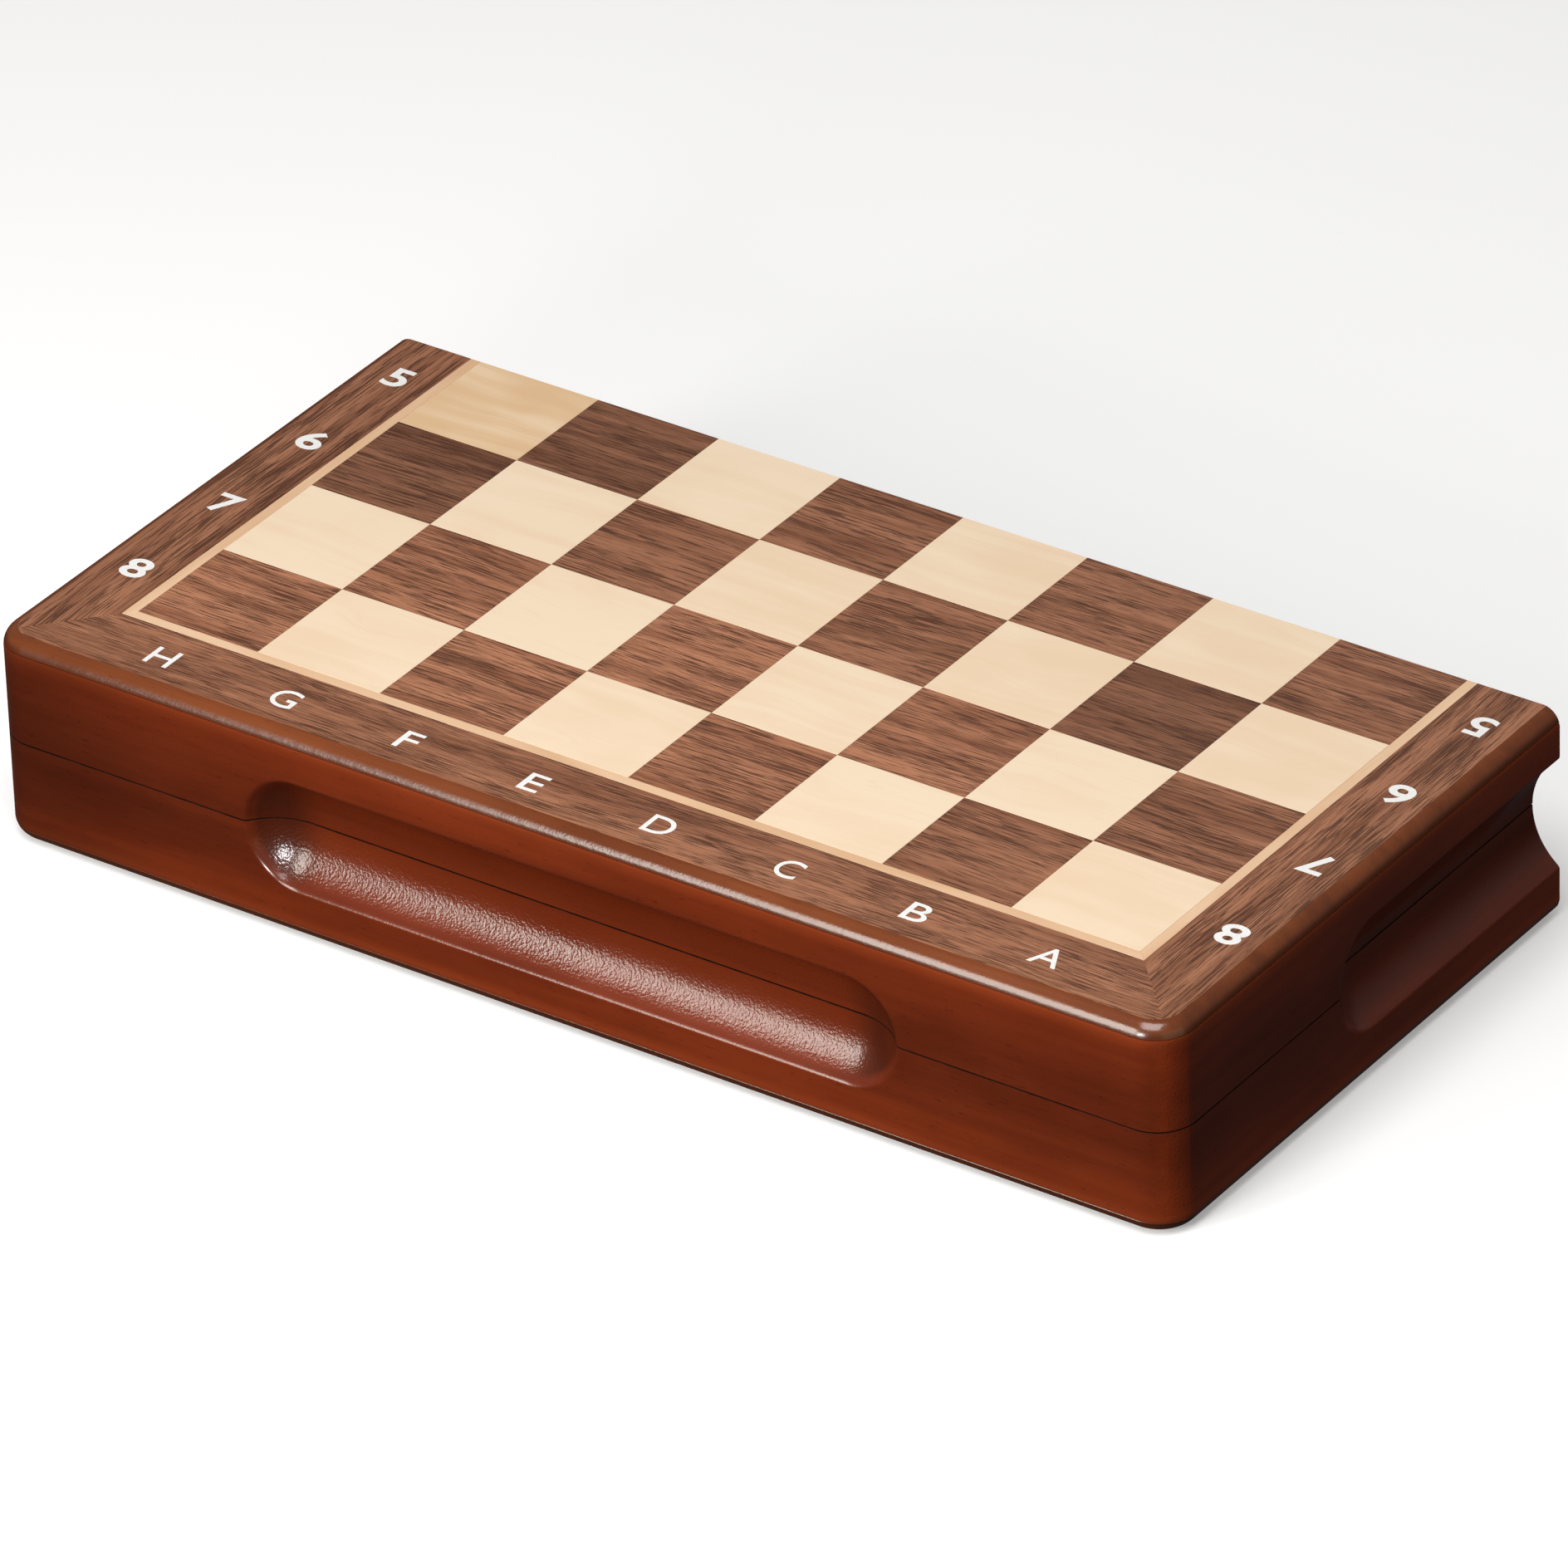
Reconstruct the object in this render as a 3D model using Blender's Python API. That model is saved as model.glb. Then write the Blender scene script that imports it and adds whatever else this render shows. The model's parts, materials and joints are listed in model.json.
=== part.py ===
"""A folding chess set: two shallow trays hinged along one long side, veneered outside as the
two halves of a chess board, with sixteen men lying in the flocked insert of each tray.

The case lies folded, White's half below and Black's half above, each with its playing face
outwards. Lengths are in millimetres here and become metres when a mesh is made.
X runs along the long side, -Y is the opening side, +Y the hinged side, Z is up.
A depth is measured from the seam between the halves towards either playing face.
"""

import math

import bmesh
import bpy
from mathutils import Vector

MM = 0.001
SHARP_ANGLE = math.radians(50)

# Case
LENGTH = 376.0
DEPTH = 186.5
HEIGHT = 63.5
HALF_X = LENGTH / 2
FRONT = -DEPTH / 2
HINGE_EDGE = DEPTH / 2
SEAM = HEIGHT / 2
CORNER_RADIUS = 11.5
EDGE_ROUND = 5.4
GAP = 0.3
HALF_GAP = GAP / 2
BACK = HINGE_EDGE - HALF_GAP

# Layers of each half, as depths from the seam
RAIL_DEPTH = (HALF_GAP, 27.45)
PANEL_DEPTH = (27.75, 29.65, 30.85)
VENEER_DEPTH = (31.15, 31.45, SEAM)
RAIL_THICKNESS = 15.0

# Playing face: the rank at the hinge is trimmed, and the inlay line laps over the outer squares
SQUARE = 40.0
HINGE_TRIM = 1.5
INLAY_LAP_SIDE = 0.5
INLAY_LAP_FRONT = 2.0
STRING_WIDTH = 3.2
BOARD_HALF_X = 4 * SQUARE - INLAY_LAP_SIDE
BOARD_FRONT = HINGE_EDGE + HINGE_TRIM - 4 * SQUARE + INLAY_LAP_FRONT

# Finger grooves, worked with a ball-nosed cutter that runs along the seam
GROOVE_RADIUS = 20.8
GROOVE_STANDOFF = 12.4
FRONT_GROOVE_LENGTH = 208.0
SIDE_GROOVE_END = -14.0

# Hinges
HINGE_X = 110.0
HINGE_LENGTH = 38.0
LEAF_WIDTH = 11.0
LEAF_THICKNESS = 1.0
KNUCKLE_RADIUS = 2.4
BORE_RADIUS = 1.2
PIN_RADIUS = 0.95
KNUCKLE_RELIEF = 2.8
END_KNUCKLE_LENGTH = 12.0
ROD_SIDES = 16

# Tray insert
TRAY_HALF_X = 172.5
TRAY_HALF_Y = 77.75
TRAY_TOP = 11.0
TROUGH_Y = (-3.0, 29.0)
TROUGH_FLOOR = 22.0
TROUGH_END_WALL = 10.0
OVERCUT = 1.0
COLUMN_PITCH = 42.0
REST_DEPTH = 26.15
OFFICER_TIP_Y = 3.0
PAWN_TIP_Y = 23.0
POCKET_CLEARANCE = 0.3

# Chessmen as turned outlines: radius and height pairs from the base upwards
OUTLINES = {
    "king": [(12.5, 0), (12.5, 5.5), (9.2, 10), (6, 18), (5, 39), (9, 42.5), (5.4, 45),
             (8.2, 55), (1.8, 57.5), (1.8, 64)],
    "queen": [(12.5, 0), (12.5, 5.5), (9, 10), (5.6, 18), (4.6, 36), (8.6, 39.5), (5, 42),
              (7.8, 52), (2.2, 55), (2.2, 58)],
    "bishop": [(11, 0), (11, 5), (8, 9), (5, 16), (4, 30), (7.5, 33), (4.4, 35),
               (6.6, 40), (5.4, 44.5), (1.4, 50)],
    "knight": [(11, 0), (11, 5), (8.5, 9), (6.5, 13), (8, 16), (8, 18)],
    "rook": [(11.5, 0), (11.5, 5), (8.5, 9), (6.2, 15), (5.6, 25), (8.4, 29), (7.2, 31),
             (8.2, 40)],
    "pawn": [(10, 0), (10, 4), (7.5, 7), (5, 12), (3.8, 20), (6.5, 23), (4.2, 24.5),
             (6.2, 28), (6.2, 32), (2.8, 36)],
}
TURNED_SIDES = 10
KNIGHT_HEAD = [(-6, 16.5), (6, 16.5), (5, 23), (2.5, 27.5), (9, 28), (10, 31), (4, 37.5),
               (1, 42.5), (-1, 45), (-3.5, 41.5), (-8, 36), (-8.5, 26)]
KNIGHT_THICKNESS = 9.0

BACK_RANK = ["rook_1", "knight_1", "bishop_1", "queen", "king", "bishop_2", "knight_2", "rook_2"]


class Half:
    """One tray of the case: its name, the colour of its men, and which way its depths run."""

    def __init__(self, name, colour, up):
        self.name = name
        self.colour = colour
        self.up = up
        self.pivot = None

    def z(self, depth):
        return SEAM + self.up * depth

    def span(self, *depths):
        """The lowest and highest of some depths, as heights."""
        return sorted(self.z(depth) for depth in depths)


LOWER = Half("lower", "white", -1)
UPPER = Half("upper", "black", 1)
HALVES = (LOWER, UPPER)


# Materials ------------------------------------------------------------------------------

MATERIALS = {
    "stained_wood": ((0.16, 0.035, 0.014), 0.35, 0.0),
    "panel_core": ((0.22, 0.075, 0.02), 0.4, 0.0),
    "walnut_veneer": ((0.17, 0.075, 0.042), 0.5, 0.0),
    "maple_veneer": ((0.83, 0.63, 0.40), 0.45, 0.0),
    "stringing": ((0.72, 0.47, 0.24), 0.45, 0.0),
    "flock": ((0.020, 0.065, 0.035), 0.95, 0.0),
    "brass": ((0.72, 0.52, 0.20), 0.28, 1.0),
    "boxwood": ((0.72, 0.50, 0.25), 0.35, 0.0),
    "ebonised": ((0.030, 0.018, 0.014), 0.3, 0.0),
}


def material(name):
    """The named finish, made on first use."""
    found = bpy.data.materials.get(name)
    if found:
        return found
    colour, roughness, metallic = MATERIALS[name]
    made = bpy.data.materials.new(name)
    made.use_nodes = True
    shader = made.node_tree.nodes["Principled BSDF"]
    shader.inputs["Base Color"].default_value = (*colour, 1)
    shader.inputs["Roughness"].default_value = roughness
    shader.inputs["Metallic"].default_value = metallic
    return made


# Mesh helpers ---------------------------------------------------------------------------


def finish_mesh(name, shape, finish=None):
    """The bmesh as a mesh in metres, with outward faces, round stretches smooth, and a finish."""
    bmesh.ops.recalc_face_normals(shape, faces=shape.faces)
    bmesh.ops.scale(shape, vec=(MM, MM, MM), verts=shape.verts)
    mesh = bpy.data.meshes.new(name)
    shape.to_mesh(mesh)
    shape.free()
    mesh.shade_smooth()
    mesh.set_sharp_from_angle(angle=SHARP_ANGLE)
    if finish:
        mesh.materials.append(material(finish))
    return mesh


def add_object(name, mesh, half=None, location=(0, 0, 0), rotation=(0, 0, 0)):
    """An object in the scene, at a place in millimetres, riding on its half's pivot if any."""
    made = bpy.data.objects.new(name, mesh)
    bpy.context.scene.collection.objects.link(made)
    made.location = Vector(location) * MM
    made.rotation_euler = rotation
    if half and half.pivot:
        made.parent = half.pivot
        made.location -= half.pivot.location
    return made


def add_cutter(name, shape, half=None, location=(0, 0, 0), rotation=(0, 0, 0)):
    """A hidden tool shape for Booleans."""
    cutter = add_object(name, finish_mesh(name, shape), half, location, rotation)
    cutter.hide_render = True
    cutter.display_type = "WIRE"
    return cutter


def boolean(target, operation, tool):
    modifier = target.modifiers.new(f"{operation.lower()}_{tool.name}", "BOOLEAN")
    modifier.operation = operation
    modifier.solver = "EXACT"
    modifier.object = tool


def bridge_rings(shape, rings):
    """Side faces between successive rings of vertices, and a cap on each end ring."""
    for below, above in zip(rings, rings[1:]):
        for i, corner in enumerate(below):
            after = (i + 1) % len(below)
            shape.faces.new((corner, below[after], above[after], above[i]))
    shape.faces.new(reversed(rings[0]))
    shape.faces.new(rings[-1])


def layered(shape, outline, half, depths):
    """A slab of a half: outline(inset) gives its plan, drawn in where the case edge rounds."""
    rings = [
        [shape.verts.new((x, y, half.z(depth))) for x, y in outline(edge_inset(depth))]
        for depth in depths
    ]
    bridge_rings(shape, rings)
    return shape


def add_box(shape, low, high):
    rings = [
        [shape.verts.new((x, y, z)) for x, y in
         ((low[0], low[1]), (high[0], low[1]), (high[0], high[1]), (low[0], high[1]))]
        for z in (low[2], high[2])
    ]
    bridge_rings(shape, rings)


def add_rod(shape, radius, start_x, end_x, sides):
    """A round rod along the hinge axis."""
    rings = [
        [shape.verts.new((x, HINGE_EDGE + radius * math.cos(angle), SEAM + radius * math.sin(angle)))
         for angle in (2 * math.pi * (i + 0.5) / sides for i in range(sides))]
        for x in (start_x, end_x)
    ]
    bridge_rings(shape, rings)


def arc(centre, radius, start, end, steps):
    """Points of an arc between two angles in degrees."""
    angles = (math.radians(start + (end - start) * i / steps) for i in range(steps + 1))
    return [(centre[0] + radius * math.cos(a), centre[1] + radius * math.sin(a)) for a in angles]


def edge_inset(depth):
    """How far the rounded outer edge lies inside the case's face at a depth."""
    rise = depth - (SEAM - EDGE_ROUND)
    return EDGE_ROUND - math.sqrt(EDGE_ROUND**2 - rise**2) if rise > 0 else 0.0


def front_corner(side, inset, start, end, steps=4):
    """Part of a front corner's arc; side is -1 at the left and 1 at the right."""
    centre = (side * (HALF_X - CORNER_RADIUS), FRONT + CORNER_RADIUS)
    return arc(centre, CORNER_RADIUS - inset, start, end, steps)


# Case rails, panels and veneers ---------------------------------------------------------

MITRE_ANGLE = math.degrees(HALF_GAP / CORNER_RADIUS)
MITRE_SHIFT = HALF_GAP * math.sqrt(2)


def side_strip(side, inner_x, inner_front):
    """Plan of a side piece, mitred at the front corner and square at the hinged edge."""

    def outline(inset):
        edge = side * (HALF_X - inset)
        corner = 225 if side < 0 else 315
        curve = front_corner(side, inset, corner + side * MITRE_ANGLE, 180 if side < 0 else 360)
        return [(side * inner_x, BACK), (side * inner_x, inner_front + MITRE_SHIFT), *curve,
                (edge, BACK)]

    return outline


def front_strip(inner_x, inner_front):
    """Plan of a front piece, mitred at both ends."""

    def outline(inset):
        left = front_corner(-1, inset, 225 + MITRE_ANGLE, 270)
        right = front_corner(1, inset, 270, 315 - MITRE_ANGLE)
        reach = inner_x - MITRE_SHIFT
        return [(-reach, inner_front), *left, *right, (reach, inner_front)]

    return outline


def panel_outline(inset):
    """Plan of the panel: round front corners, square corners on the hinged edge."""
    left = front_corner(-1, inset, 180, 270)
    right = front_corner(1, inset, 270, 360)
    edge = HALF_X - inset
    return [(-edge, BACK), *left, *right, (edge, BACK)]


def string_outline(_inset):
    """Plan of the light inlay line round three sides of the squares."""
    inner_x, inner_y = BOARD_HALF_X, BOARD_FRONT
    outer_x, outer_y = inner_x + STRING_WIDTH - GAP, inner_y - STRING_WIDTH + GAP
    return [(-outer_x, BACK), (-outer_x, outer_y), (outer_x, outer_y), (outer_x, BACK),
            (inner_x, BACK), (inner_x, inner_y), (-inner_x, inner_y), (-inner_x, BACK)]


def board_outline(_inset):
    x, y = BOARD_HALF_X - GAP, BOARD_FRONT + GAP
    return [(-x, y), (x, y), (x, BACK), (-x, BACK)]


def make_rails(half):
    """The four rails of a half, with the grooves, hinge mortises and knuckle reliefs cut."""
    cutters = make_cutters(half)
    inner_x = HALF_X - RAIL_THICKNESS
    inner_front = FRONT + RAIL_THICKNESS
    plans = {
        "front_rail": front_strip(inner_x, inner_front),
        "left_rail": side_strip(-1, inner_x, inner_front),
        "right_rail": side_strip(1, inner_x, inner_front),
    }
    for name, plan in plans.items():
        shape = layered(bmesh.new(), plan, half, RAIL_DEPTH)
        rail = add_object(f"{half.name}_{name}", finish_mesh(name, shape, "stained_wood"), half)
        boolean(rail, "DIFFERENCE", cutters[name])
    shape = bmesh.new()
    z_low, z_high = half.span(*RAIL_DEPTH)
    reach = inner_x - GAP
    add_box(shape, (-reach, BACK - RAIL_THICKNESS, z_low), (reach, BACK, z_high))
    rail = add_object(f"{half.name}_hinge_rail", finish_mesh("hinge_rail", shape, "stained_wood"), half)
    boolean(rail, "DIFFERENCE", cutters["mortises"])
    boolean(rail, "DIFFERENCE", cutters["knuckle_reliefs"])


def make_faces(half):
    """The panel of a half and the veneers on it."""
    string_x, string_y = BOARD_HALF_X + STRING_WIDTH, BOARD_FRONT - STRING_WIDTH
    flat = (VENEER_DEPTH[0], VENEER_DEPTH[-1])
    pieces = {
        "panel": (panel_outline, PANEL_DEPTH, "panel_core"),
        "border_front": (front_strip(string_x, string_y), VENEER_DEPTH, "walnut_veneer"),
        "border_left": (side_strip(-1, string_x, string_y), VENEER_DEPTH, "walnut_veneer"),
        "border_right": (side_strip(1, string_x, string_y), VENEER_DEPTH, "walnut_veneer"),
        "stringing": (string_outline, flat, "stringing"),
        "chequer_veneer": (board_outline, flat, "maple_veneer"),
    }
    for name, (plan, depths, finish) in pieces.items():
        shape = layered(bmesh.new(), plan, half, depths)
        add_object(f"{half.name}_{name}", finish_mesh(name, shape, finish), half)


# Cutters of a half ----------------------------------------------------------------------


def capsule(start, end, radius, sides=28, rings=5):
    """A rod with round ends between two points on a line along X or Y."""
    shape = bmesh.new()
    start, end = Vector(start), Vector(end)
    along = (end - start).normalized()
    turn = Vector((0, 0, 1)).rotation_difference(along).to_matrix()
    stations = [(start, -radius * math.cos(a), radius * math.sin(a))
                for a in (math.pi / 2 * i / rings for i in range(1, rings + 1))]
    stations += [(end, radius * math.cos(a), radius * math.sin(a))
                 for a in (math.pi / 2 * i / rings for i in range(rings, 0, -1))]
    loops = []
    for centre, along_axis, ring_radius in stations:
        ring = []
        for i in range(sides):
            angle = 2 * math.pi * i / sides
            local = Vector((ring_radius * math.cos(angle), ring_radius * math.sin(angle), along_axis))
            ring.append(shape.verts.new(centre + turn @ local))
        loops.append(ring)
    for below, above in zip(loops, loops[1:]):
        for i in range(sides):
            after = (i + 1) % sides
            shape.faces.new((below[i], below[after], above[after], above[i]))
    for loop, tip in ((loops[0], start - along * radius), (loops[-1], end + along * radius)):
        pole = shape.verts.new(tip)
        for i in range(sides):
            shape.faces.new((loop[i], loop[(i + 1) % sides], pole))
    return shape


def make_cutters(half):
    """The groove, mortise and relief tools of a half, by the rail or the job that they cut."""
    chord_half = math.sqrt(GROOVE_RADIUS**2 - GROOVE_STANDOFF**2)
    reach = FRONT_GROOVE_LENGTH / 2 - chord_half
    groove_y = FRONT - GROOVE_STANDOFF
    shapes = {"front_rail": capsule((-reach, groove_y, SEAM), (reach, groove_y, SEAM), GROOVE_RADIUS)}
    for side, name in ((-1, "left_rail"), (1, "right_rail")):
        x = side * (HALF_X + GROOVE_STANDOFF)
        start = (x, SIDE_GROOVE_END + chord_half, SEAM)
        end = (x, HINGE_EDGE + GROOVE_RADIUS, SEAM)
        shapes[name] = capsule(start, end, GROOVE_RADIUS)
    shapes["mortises"], shapes["knuckle_reliefs"] = bmesh.new(), bmesh.new()
    reach = HINGE_LENGTH / 2 + GAP
    mortise_depth = RAIL_DEPTH[0] + LEAF_THICKNESS + GAP
    for x in (-HINGE_X, HINGE_X):
        add_box(shapes["mortises"], (x - reach, HINGE_EDGE - LEAF_WIDTH - GAP, SEAM - mortise_depth),
                (x + reach, HINGE_EDGE + OVERCUT, SEAM + mortise_depth))
        add_rod(shapes["knuckle_reliefs"], KNUCKLE_RELIEF, x - reach, x + reach, ROD_SIDES)
    return {name: add_cutter(f"{half.name}_{name}_cutter", shape, half)
            for name, shape in shapes.items()}


# Hinges ---------------------------------------------------------------------------------


def knuckle_spans(x, half):
    """Where a leaf's knuckles lie along a hinge: the two end ones below, the middle one above."""
    end = HINGE_LENGTH / 2
    shoulder = end - END_KNUCKLE_LENGTH
    if half is LOWER:
        return [(x - end, x - shoulder), (x + shoulder, x + end)]
    return [(x - shoulder + GAP, x + shoulder - GAP)]


def make_hinges():
    for side, name in ((-1, "left"), (1, "right")):
        x = side * HINGE_X
        for half, other in ((LOWER, UPPER), (UPPER, LOWER)):
            plate = bmesh.new()
            reach = HINGE_LENGTH / 2
            z_low, z_high = half.span(HALF_GAP, HALF_GAP + LEAF_THICKNESS)
            add_box(plate, (x - reach, HINGE_EDGE - LEAF_WIDTH, z_low), (x + reach, HINGE_EDGE, z_high))
            mesh = finish_mesh("hinge_leaf", plate, "brass")
            leaf = add_object(f"{half.name}_hinge_leaf_{name}", mesh, half)
            notch, knuckles, bore = bmesh.new(), bmesh.new(), bmesh.new()
            for start, end in knuckle_spans(x, other):
                add_rod(notch, KNUCKLE_RADIUS + GAP, start - GAP, end + GAP, ROD_SIDES)
            for start, end in knuckle_spans(x, half):
                add_rod(knuckles, KNUCKLE_RADIUS, start, end, ROD_SIDES)
            add_rod(bore, BORE_RADIUS, x - HINGE_LENGTH, x + HINGE_LENGTH, ROD_SIDES)
            boolean(leaf, "DIFFERENCE", add_cutter(f"{leaf.name}_notch_cutter", notch, half))
            boolean(leaf, "UNION", add_cutter(f"{leaf.name}_knuckles", knuckles, half))
            boolean(leaf, "DIFFERENCE", add_cutter(f"{leaf.name}_bore_cutter", bore, half))
        pin = bmesh.new()
        add_rod(pin, PIN_RADIUS, x - HINGE_LENGTH / 2, x + HINGE_LENGTH / 2, ROD_SIDES)
        add_object(f"hinge_pin_{name}", finish_mesh("hinge_pin", pin, "brass"), LOWER)


# Tray inserts and chessmen --------------------------------------------------------------


def column_x(index):
    return (index - 3.5) * COLUMN_PITCH


def pocket(shape, half, x, radius, y_low, y_high):
    """A trough with a round bottom that takes one man lying down."""
    width = radius + POCKET_CLEARANCE
    axis_depth = REST_DEPTH - radius
    section = arc((0, axis_depth), width, 0, 180, 8)
    section += [(-width, TRAY_TOP - OVERCUT), (width, TRAY_TOP - OVERCUT)]
    rings = [[shape.verts.new((x + u, y, half.z(depth))) for u, depth in section]
             for y in (y_low, y_high)]
    bridge_rings(shape, rings)


def man_kind(name):
    return name.split("_")[0]


def man_size(name):
    """Base radius and height of a man."""
    outline = OUTLINES[man_kind(name)]
    height = KNIGHT_HEAD[8][1] if man_kind(name) == "knight" else outline[-1][1]
    return outline[0][0], height


def make_tray(half):
    shape = bmesh.new()
    z_low, z_high = half.span(TRAY_TOP, RAIL_DEPTH[1])
    add_box(shape, (-TRAY_HALF_X, -TRAY_HALF_Y, z_low), (TRAY_HALF_X, TRAY_HALF_Y, z_high))
    tray = add_object(f"{half.name}_tray", finish_mesh("tray", shape, "flock"), half)
    trough, pockets = bmesh.new(), bmesh.new()
    z_low, z_high = half.span(TRAY_TOP - OVERCUT, TROUGH_FLOOR)
    reach = TRAY_HALF_X - TROUGH_END_WALL
    add_box(trough, (-reach, TROUGH_Y[0], z_low), (reach, TROUGH_Y[1], z_high))
    for index, officer in enumerate(BACK_RANK):
        radius, height = man_size(officer)
        pocket(pockets, half, column_x(index), radius,
               OFFICER_TIP_Y - height - POCKET_CLEARANCE, OFFICER_TIP_Y + POCKET_CLEARANCE)
        radius, height = man_size("pawn")
        pocket(pockets, half, column_x(index), radius,
               PAWN_TIP_Y - POCKET_CLEARANCE, PAWN_TIP_Y + height + POCKET_CLEARANCE)
    boolean(tray, "DIFFERENCE", add_cutter(f"{half.name}_trough_cutter", trough, half))
    boolean(tray, "DIFFERENCE", add_cutter(f"{half.name}_pocket_cutter", pockets, half))


def turned(outline):
    """A solid of revolution about Z from radius and height pairs."""
    shape = bmesh.new()
    rings = []
    for radius, height in outline:
        angles = (2 * math.pi * i / TURNED_SIDES for i in range(TURNED_SIDES))
        rings.append([shape.verts.new((radius * math.cos(a), radius * math.sin(a), height)) for a in angles])
    bridge_rings(shape, rings)
    return shape


def knight_head():
    """The hidden head shape that is joined to each knight's turned foot."""
    shape = bmesh.new()
    rings = [[shape.verts.new((x, y, z)) for x, z in KNIGHT_HEAD]
             for y in (-KNIGHT_THICKNESS / 2, KNIGHT_THICKNESS / 2)]
    bridge_rings(shape, rings)
    return shape


def make_men(half):
    """Officers lie with their heads towards the hinge, and pawns towards the front."""
    finish = "boxwood" if half is LOWER else "ebonised"
    meshes = {kind: finish_mesh(f"{half.colour}_{kind}", turned(outline), finish)
              for kind, outline in OUTLINES.items()}
    for index, officer in enumerate(BACK_RANK):
        kind = man_kind(officer)
        radius, height = man_size(officer)
        place = (column_x(index), OFFICER_TIP_Y - height, half.z(REST_DEPTH - radius))
        turn = (-math.pi / 2, 0, 0)
        man = add_object(f"{half.colour}_{officer}", meshes[kind], half, place, turn)
        if kind == "knight":
            boolean(man, "UNION", add_cutter(f"{man.name}_head", knight_head(), half, place, turn))
        radius, height = man_size("pawn")
        place = (column_x(index), PAWN_TIP_Y + height, half.z(REST_DEPTH - radius))
        turn = (math.pi / 2, 0, 0)
        add_object(f"{half.colour}_pawn_{index + 1}", meshes["pawn"], half, place, turn)


# Assembly -------------------------------------------------------------------------------


def clear_scene():
    for found in list(bpy.data.objects):
        bpy.data.objects.remove(found, do_unlink=True)


def add_pivot():
    """The empty on the fold axis that carries everything in the upper half."""
    pivot = add_object("fold_axis", None, location=(0, HINGE_EDGE, SEAM))
    pivot.empty_display_size = 0.05
    return pivot


def main():
    clear_scene()
    UPPER.pivot = add_pivot()
    for half in HALVES:
        make_rails(half)
        make_faces(half)
        make_tray(half)
        make_men(half)
    make_hinges()


main()
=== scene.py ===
"""The looks of the folding chess set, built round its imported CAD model.

The case lies folded, White's half below and Black's half above, as in the CAD model. Lengths
are in millimetres here and become metres when a mesh is made. A depth is measured from the
seam between the halves towards either playing face, so both halves come from the same
functions. Every mesh carries a "grain" attribute: each point's place in its own plank, along
the fibres, across them and into the wood, in millimetres. The wood materials read it.
"""

import json
import math

import bmesh
import bpy
import numpy as np
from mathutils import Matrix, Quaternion, Vector


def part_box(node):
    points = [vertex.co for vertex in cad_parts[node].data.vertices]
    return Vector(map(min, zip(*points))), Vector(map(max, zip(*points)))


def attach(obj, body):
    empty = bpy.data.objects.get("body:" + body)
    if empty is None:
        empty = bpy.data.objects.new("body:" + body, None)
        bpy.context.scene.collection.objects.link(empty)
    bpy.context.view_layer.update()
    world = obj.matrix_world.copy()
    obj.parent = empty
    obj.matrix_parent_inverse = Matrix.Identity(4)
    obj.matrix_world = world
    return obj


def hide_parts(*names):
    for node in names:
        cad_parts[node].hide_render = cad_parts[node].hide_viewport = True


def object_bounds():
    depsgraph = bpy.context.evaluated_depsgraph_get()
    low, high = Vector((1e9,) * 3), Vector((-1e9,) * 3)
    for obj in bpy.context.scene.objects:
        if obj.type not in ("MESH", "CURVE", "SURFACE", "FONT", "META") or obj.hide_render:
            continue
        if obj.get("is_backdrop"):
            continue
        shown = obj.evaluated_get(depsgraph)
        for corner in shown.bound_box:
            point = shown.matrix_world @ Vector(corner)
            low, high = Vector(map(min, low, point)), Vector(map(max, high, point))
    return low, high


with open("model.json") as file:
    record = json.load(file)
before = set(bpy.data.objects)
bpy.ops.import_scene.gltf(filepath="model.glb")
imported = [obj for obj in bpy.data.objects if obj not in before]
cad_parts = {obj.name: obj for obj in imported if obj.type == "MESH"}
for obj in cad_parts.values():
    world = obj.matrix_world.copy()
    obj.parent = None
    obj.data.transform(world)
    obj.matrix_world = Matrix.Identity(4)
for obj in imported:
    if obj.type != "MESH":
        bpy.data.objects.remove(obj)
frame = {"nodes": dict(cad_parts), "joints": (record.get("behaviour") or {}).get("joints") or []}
CAD_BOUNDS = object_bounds()

MM = 0.001
RANDOM = np.random.default_rng(8)


def cad_low(node):
    """Lowest corner of a CAD node, in millimetres."""
    return [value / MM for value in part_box(node)[0]]


def cad_high(node):
    """Highest corner of a CAD node, in millimetres."""
    return [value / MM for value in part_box(node)[1]]


# Driving dimensions, most of them read from the frame -------------------------------------

FOLD_AXIS = frame["joints"][0]["pos_m"]
HINGE_EDGE = FOLD_AXIS[1] / MM
SEAM = FOLD_AXIS[2] / MM
HALF_X = cad_high("upper_right_rail")[0]
FRONT = cad_low("upper_front_rail")[1]
BACK = cad_high("upper_panel")[1]
HALF_GAP = HINGE_EDGE - BACK
CORNER_RADIUS = 11.5
EDGE_ROUND = 5.4

RAIL_INNER_X = cad_low("upper_right_rail")[0]
RAIL_INNER_FRONT = cad_high("upper_front_rail")[1]
RAIL_TOP = cad_high("upper_front_rail")[2] - SEAM + 0.1
PANEL_BASE = RAIL_TOP + 0.08
RIM_ROUND = 0.5
SEAM_ROUND = 0.12
# How far in from the outer face the rim strip of painted seam shade reaches.
SEAM_LINE = 0.7

VENEER_BASE = cad_low("upper_stringing")[2] - SEAM
PRINT_THICKNESS = 0.05
VENEER_TOP = SEAM - PRINT_THICKNESS
VENEER_EASE = 0.05
BORDER_INSET = 4.1
JOINT = 0.03
SQUARE = 40.0
BOARD_HALF_X = cad_low("upper_border_right")[0] - 3.2
BOARD_FRONT = cad_high("upper_border_front")[1] + 3.2
STRING_WIDTH = 3.2
RANK_EDGE = HINGE_EDGE + 1.5

GROOVE_RADIUS = 20.8
GROOVE_STANDOFF = 12.4
FRONT_GROOVE_REACH = 87.3
SIDE_GROOVE_START = 2.7
GROOVE_LIP = 0.9

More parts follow.
